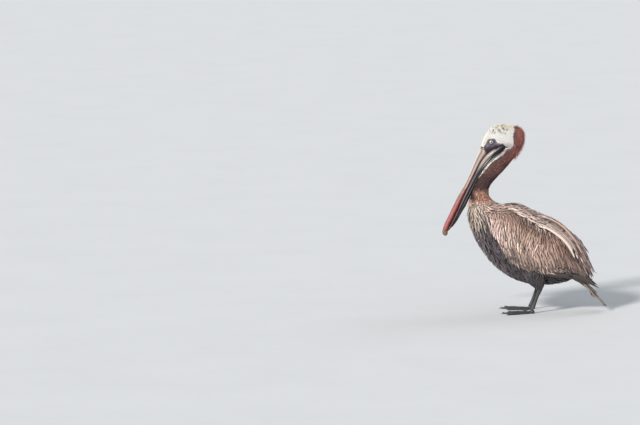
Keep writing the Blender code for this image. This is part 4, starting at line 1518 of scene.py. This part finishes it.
# %% Wrap a tube round a solid
BILL_SIDE = Vector((1, 0, 0))
RAY_START = 0.08  # m from the middle, where the rays come from
LEAST_REACH = 0.3 * MM


def wrapped(name, source, start, end, sides, rings, evening=2, detail=None, rounded=0.0):
    """A smooth tube round a CAD node, between two (y, z) points in mm.

    The detail adds height to it, and its far end is rounded over this share of its length.
    """
    node_copy = copy_of(source)
    mesh = node_copy.data
    corners = [v.co.copy() for v in mesh.vertices]
    tree = BVHTree.FromPolygons(corners, [list(p.vertices) for p in mesh.polygons])
    bpy.data.objects.remove(node_copy)
    a, b = (Vector((0, y, z)) * MM for y, z in (start, end))
    ahead = (b - a).normalized()
    up = BILL_SIDE.cross(ahead)
    up = up if up.y < 0 else -up
    far = RAY_START
    share = np.linspace(0, 1, rings)
    centres, radii = [], []
    turns = 2 * math.pi * np.arange(sides) / sides
    for s in share:
        middle = a.lerp(b, s)
        ends = [tree.ray_cast(middle + up * far * k, -up * k) for k in (1, -1)]
        if all(e[0] is not None for e in ends):
            middle = (ends[0][0] + ends[1][0]) / 2
        centres.append(np.array(middle))
        ring = []
        for turn in turns:
            way = up * math.cos(turn) + BILL_SIDE * math.sin(turn)
            hit = tree.ray_cast(middle + way * far, -way)
            ring.append(np.nan if hit[0] is None else max(far - hit[3], LEAST_REACH))
        radii.append(ring)
    radii, centres = np.array(radii), np.array(centres)
    whole_rings = np.flatnonzero(~np.isnan(radii).any(1))
    for j in range(rings):
        if np.isnan(radii[j]).any():
            near = whole_rings[np.abs(whole_rings - j).argmin()]
            radii[j] = radii[near] * 0.8
    for _ in range(evening):
        radii = (np.roll(radii, 1, 1) + 2 * radii + np.roll(radii, -1, 1)) / 4
        radii[1:-1] = (radii[:-2] + 2 * radii[1:-1] + radii[2:]) / 4
        centres[1:-1] = (centres[:-2] + 2 * centres[1:-1] + centres[2:]) / 4
    tube, around, row = straight_tube(name, sides, rings)
    turn, along = turns[around], share[row]
    reach = radii[row, around]
    if detail is not None:
        reach = reach + detail(along, turn, reach)
    if rounded:
        reach = reach * np.sqrt(1 - ((along - 1 + rounded) / rounded).clip(0, 0.99) ** 2)
    out = np.outer(np.cos(turn), np.array(up)) + np.outer(np.sin(turn), np.array(BILL_SIDE))
    set_points(tube, centres[row] + out * reach[:, None])
    with EditMode(tube):
        bpy.ops.mesh.normals_make_consistent(inside=False)
    tube.data.shade_smooth()
    return tube, along, np.minimum(turn, 2 * math.pi - turn)


def shown(thing, material, slot, *replaced):
    """Gives a piece its finish, and puts it on the bird in place of its CAD nodes."""
    thing.data.materials.clear()
    thing.data.materials.append(material)
    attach(thing, "root")
    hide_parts(*replaced)
    thing.data.calc_loop_triangles()
    triangles[thing.name] = len(thing.data.loop_triangles)
    print(f"{thing.name}: {triangles[thing.name]} triangles")


def upper_relief(along, turn, reach):
    """The culmen's ridge and a groove at each side of it."""
    across = np.abs(reach * np.sin(turn)) / MM
    top = np.cos(turn) > 0
    ridge = 0.9 * hump(across, 0.0, 3.2) * top
    groove = 1.1 * hump(across, 6.2, 1.5) * top * fade(along, 0.0, 0.06)
    return (ridge - groove * (1 - fade(along, 0.9, 1.0))) * MM


def lower_relief(along, turn, reach):
    """A long furrow down each side of the lower bill, which closes against the upper one in front."""
    off = np.minimum(turn, 2 * math.pi - turn)
    closed = 3.0 * MM * (1 - fade(off, 0.5, 1.3)) * fade(along, 0.35, 0.6)
    broad = 2.8 * MM * hump(off, 2.2, 0.55) * fade(along, 0.03, 0.1) * (1 - fade(along, 0.35, 0.5))
    return closed + broad - 0.7 * MM * hump(off, 1.55, 0.12) * fade(along, 0.06, 0.2)


def pouch_relief(along, turn, reach):
    """The slack pouch's long wrinkles; it is drawn in at the rear, along the neck."""
    off = np.minimum(turn, 2 * math.pi - turn)
    drawn = 2.6 * MM * fade(off, 1.8, 2.5) * fade(along, 0.04, 0.12) * (1 - fade(along, 0.35, 0.6))
    wrinkle = np.sin(off * 13 + 2.2 * np.sin(along * 9)) + 0.6 * np.sin(off * 23 - along * 14)
    return 0.35 * MM * wrinkle * fade(along, 0.0, 0.1) * (1 - fade(along, 0.85, 1.0)) - drawn


# %% Paint the bill
PALE_HORN = paint(130, 117, 106)
GREY_HORN = paint(72, 64, 68)
SALMON = paint(146, 72, 67)
DEEP_RED = paint(104, 34, 36)
CULMEN = paint(192, 184, 178)
GREY_CULMEN = paint(112, 98, 104)
DUSK = paint(66, 52, 62)
NAIL_HORN = paint(102, 86, 64)
POUCH_SKIN = paint(18, 15, 18)
RAMUS = paint(138, 128, 121)
MANDIBLE_EDGE = [  # y, z: above this line the lower bill's side is pale horn, below it black skin
    (-192, 448), (-178, 470), (-165, 492), (-151, 514), (-140, 528), (-129, 542), (-118, 558),
    (-110, 572), (-101, 582),
]


def striped(tone, along, turn, marks):
    """Lays stripes over a tone: each has its height on the side, half width, colour, and where it shows.

    The height runs from 1 on the culmen, over 0 at the middle of the side, to -1 underneath.
    """
    for middle, half_width, colour, low, high in marks:
        share = hump(np.cos(turn), middle, half_width) * fade(along, low - 0.08, low + 0.08)
        share *= 1 - fade(along, high - 0.08, high + 0.08)
        tone = mix(tone, colour, share)
    return tone


def upper_bill_paint(points, along, turn):
    """Greyish flesh at the base, turning salmon red towards the tip, with darker lines along it."""
    streaks = waves(points * np.array([3.0, 1.0, 1.0]), 30 * MM, 31)
    tone = mix(PALE_HORN, SALMON, fade(along + 0.08 * streaks, 0.32, 0.75))
    marks = [
        (0.95, 0.22, CULMEN, -1, 0.56), (0.92, 0.22, GREY_CULMEN, 0.58, 2),
        (0.42, 0.2, paint(108, 84, 76), -1, 0.66), (0.0, 0.14, paint(176, 154, 147), -1, 0.5),
        (-0.35, 0.13, DEEP_RED, 0.1, 0.97), (-0.75, 0.2, paint(80, 34, 38), -1, 0.97),
    ]
    tone = striped(tone, along, turn, marks)
    lines = waves(points * np.array([4.0, 0.5, 0.25]), 4 * MM, 34)
    tone = mix(tone, DEEP_RED, fade(lines, 0.2, 0.9) * 0.4 * fade(along, 0.3, 0.6))
    spots = waves(points, 11 * MM, 33)
    return mix(tone, DUSK, fade(spots, 0.5, 0.75) * 0.6 * fade(along, 0.25, 0.5))


def on_ramus(points):
    """Where the lower bill's side is pale: over the line, and clear of the gape."""
    y, z = side_view(points)
    return fade(z - along_line(y, MANDIBLE_EDGE), -3, 2) * fade(-y, 103, 118) * fade(z, 490, 535)


def lower_bill_paint(points, along, turn):
    """Dark at the gape, then a pale grey branch that darkens and reddens towards the tip."""
    tone = mix(GAPE_SKIN, GREY_HORN, fade(along, 0.25, 0.5))
    tone = mix(tone, RAMUS, on_ramus(points))
    tone = mix(tone, mix(DEEP_RED, GREY_HORN, 0.6), fade(along, 0.5, 0.8))
    marks = [(0.55, 0.35, paint(98, 52, 52), 0.46, 2), (-0.5, 0.5, POUCH_SKIN * 2, 0.46, 2)]
    return striped(tone, along, turn, marks)


def nail_paint(points, along, turn):
    """Olive horn with a darker ring near its root."""
    dark_ring = fade(along, 0.0, 0.1) * (1 - fade(along, 0.22, 0.4))
    return mix(NAIL_HORN, paint(110, 92, 60), 0.75 * dark_ring)


def pouch_paint(points, along, turn):
    """Black skin with dusky clouds; at the rear top it carries the lower bill's pale branch."""
    tone = mix(POUCH_SKIN, DUSK, 0.14 * (1 + waves(points, 30 * MM, 41)))
    return mix(tone, RAMUS * 0.9, on_ramus(points))


def horn(name, scale, amount, roughness, bump, coat_weight=0.0):
    """A finish for horn, leather or claw: the piece's own paint, mottled, with a fine relief."""
    made, tree, shader = finish_of(name, roughness=roughness, coat_weight=coat_weight, coat_roughness=0.2)
    height = mottled(tree, shader, attribute(tree, "tint"), scale, amount)
    put(tree, shader.inputs["Roughness"], maths(tree, "MULTIPLY_ADD", height, 0.3, roughness - 0.15))
    relief(tree, shader, height, bump, 0.0012)
    return made


HORN = horn("bill_horn", 120.0, 0.16, 0.42, 0.35, 0.15)
LEATHER = horn("pouch_leather", 160.0, 0.25, 0.62, 0.8)
CLAW = horn("claw_horn", 300.0, 0.2, 0.4, 0.4, 0.2)

BILL = [  # piece, CAD node, slot, finish and paint, then how it is wrapped
    ("upper_bill_horn", "upper_bill", "red_bill", HORN, upper_bill_paint,
     (-141, 584), (-284, 289), 40, 110, 3, upper_relief),
    ("nail_horn", "bill_nail", "bill_nail", HORN, nail_paint, (-280.5, 306), (-283.5, 270.5), 24, 24, 1),
    ("lower_bill_horn", "lower_bill", "grey_bill", HORN, lower_bill_paint,
     (-74, 594), (-273, 287), 32, 130, 2, lower_relief, 0.04),
    ("pouch_skin", "pouch", "pouch_skin", LEATHER, pouch_paint,
     (-71, 588), (-262, 299), 64, 120, 2, pouch_relief, 0.08),
]
for name, source, slot, finish, painted, *how in BILL:
    bill, along, turn = wrapped(name, source, *how)
    carry(bill, "tint", painted(points_of(bill), along, turn))
    shown(bill, finish, slot, source)

# %% [markdown]
# ## Eyes
# Each eye is a glass ball with a slightly raised cornea. The iris is pale, with a dark pupil and
# a dark outer ring, drawn by the distance from the eye's own axis, which points sideways.

# %% Eyes
PUPIL = 4.0 * MM
IRIS = 6.6 * MM
GAZE_UP = 1.1 * MM  # the pupil sits this much above the ball's middle
CORNEA_RISE = 0.7 * MM
CORNEA_HALF_WIDTH = 4.2 * MM

eye_glass, tree, shader = finish_of("eye_glass", roughness=0.06, coat_weight=1.0, coat_roughness=0.02)
place = node(tree, "SeparateXYZ", {0: own_place(tree)})
from_y = maths(tree, "SUBTRACT", place.outputs["Y"], float(EYE[1]))
from_z = maths(tree, "SUBTRACT", place.outputs["Z"], float(EYE[2] + GAZE_UP))
squares = maths(tree, "ADD", maths(tree, "MULTIPLY", from_y, from_y), maths(tree, "MULTIPLY", from_z, from_z))
away = maths(tree, "SQRT", squares)
angle = maths(tree, "ARCTAN2", from_z, from_y)
round_it = maths(tree, "MULTIPLY", angle, 5.0)
outwards = maths(tree, "MULTIPLY", away, 300.0)
spokes = node(tree, "CombineXYZ", {0: round_it, 1: outwards})
rays = noise(tree, spokes.outputs[0], 3.0, 3.0)
iris = mixed(tree, rays, (0.82, 0.80, 0.74, 1), (0.55, 0.57, 0.58, 1))
# Painted shadow: the iris darkens towards its top, as under the upper lid's shade.
iris = mixed(tree, ramped(tree, from_z, 0.0, 4.5 * MM, 0.0, 0.75), iris, (0.10, 0.09, 0.10, 1))
iris = mixed(tree, ramped(tree, away, IRIS - 1.3 * MM, IRIS - 0.2 * MM), iris, (0.03, 0.025, 0.03, 1))
in_pupil = ramped(tree, away, PUPIL - 0.25 * MM, PUPIL + 0.25 * MM, 1.0, 0.0)
iris = mixed(tree, in_pupil, iris, (0.004, 0.004, 0.005, 1))
put(tree, shader.inputs["Base Color"], iris)

for side, sign in SIDES:
    middle = EYE * np.array([sign, 1, 1])
    bpy.ops.object.select_all(action="DESELECT")
    bpy.ops.mesh.primitive_uv_sphere_add(segments=48, ring_count=32, radius=EYE_RADIUS,
                                         location=middle.tolist(), rotation=(0, math.pi / 2, 0))
    eye = bpy.context.object
    eye.name = eye.data.name = "eyeball_" + side
    bpy.ops.object.transform_apply(location=True, rotation=True, scale=True)
    points = points_of(eye)
    out = unit(points - middle)
    off_axis = np.hypot(points[:, 1] - middle[1], points[:, 2] - middle[2])
    cornea = hump(off_axis, 0.0, CORNEA_HALF_WIDTH) * (out[:, 0] * sign > 0)
    set_points(eye, points + out * (CORNEA_RISE * cornea)[:, None])
    eye.data.shade_smooth()
    shown(eye, eye_glass, "eye", "eye_" + side)

# %% [markdown]
# ## Claws
# The claws are the frame's own, merged and rounded by subdivision, in dark horn. Rounding takes
# a little off them, so they are grown by as much.

# %% Claws
CLAW_GROWTH = 1.08

for side, _ in SIDES:
    for number in range(1, 5):
        source = f"claw_{side}_{number}"
        claw = copy_of(source)
        claw.name = claw.data.name = f"nail_{side}_{number}"
        applied(claw, "SUBSURF", levels=2, render_levels=2)
        points = points_of(claw)
        middle = points.mean(0)
        points = middle + (points - middle) * CLAW_GROWTH
        points[:, 2] = np.maximum(points[:, 2], 0.1 * MM)
        set_points(claw, points)
        claw.data.shade_smooth()
        carry(claw, "tint", np.zeros((len(points), 3)) + paint(46, 42, 42))
        shown(claw, CLAW, "claw_horn", source)

# %% Measure and finish
print("triangles in all:", sum(triangles.values()))
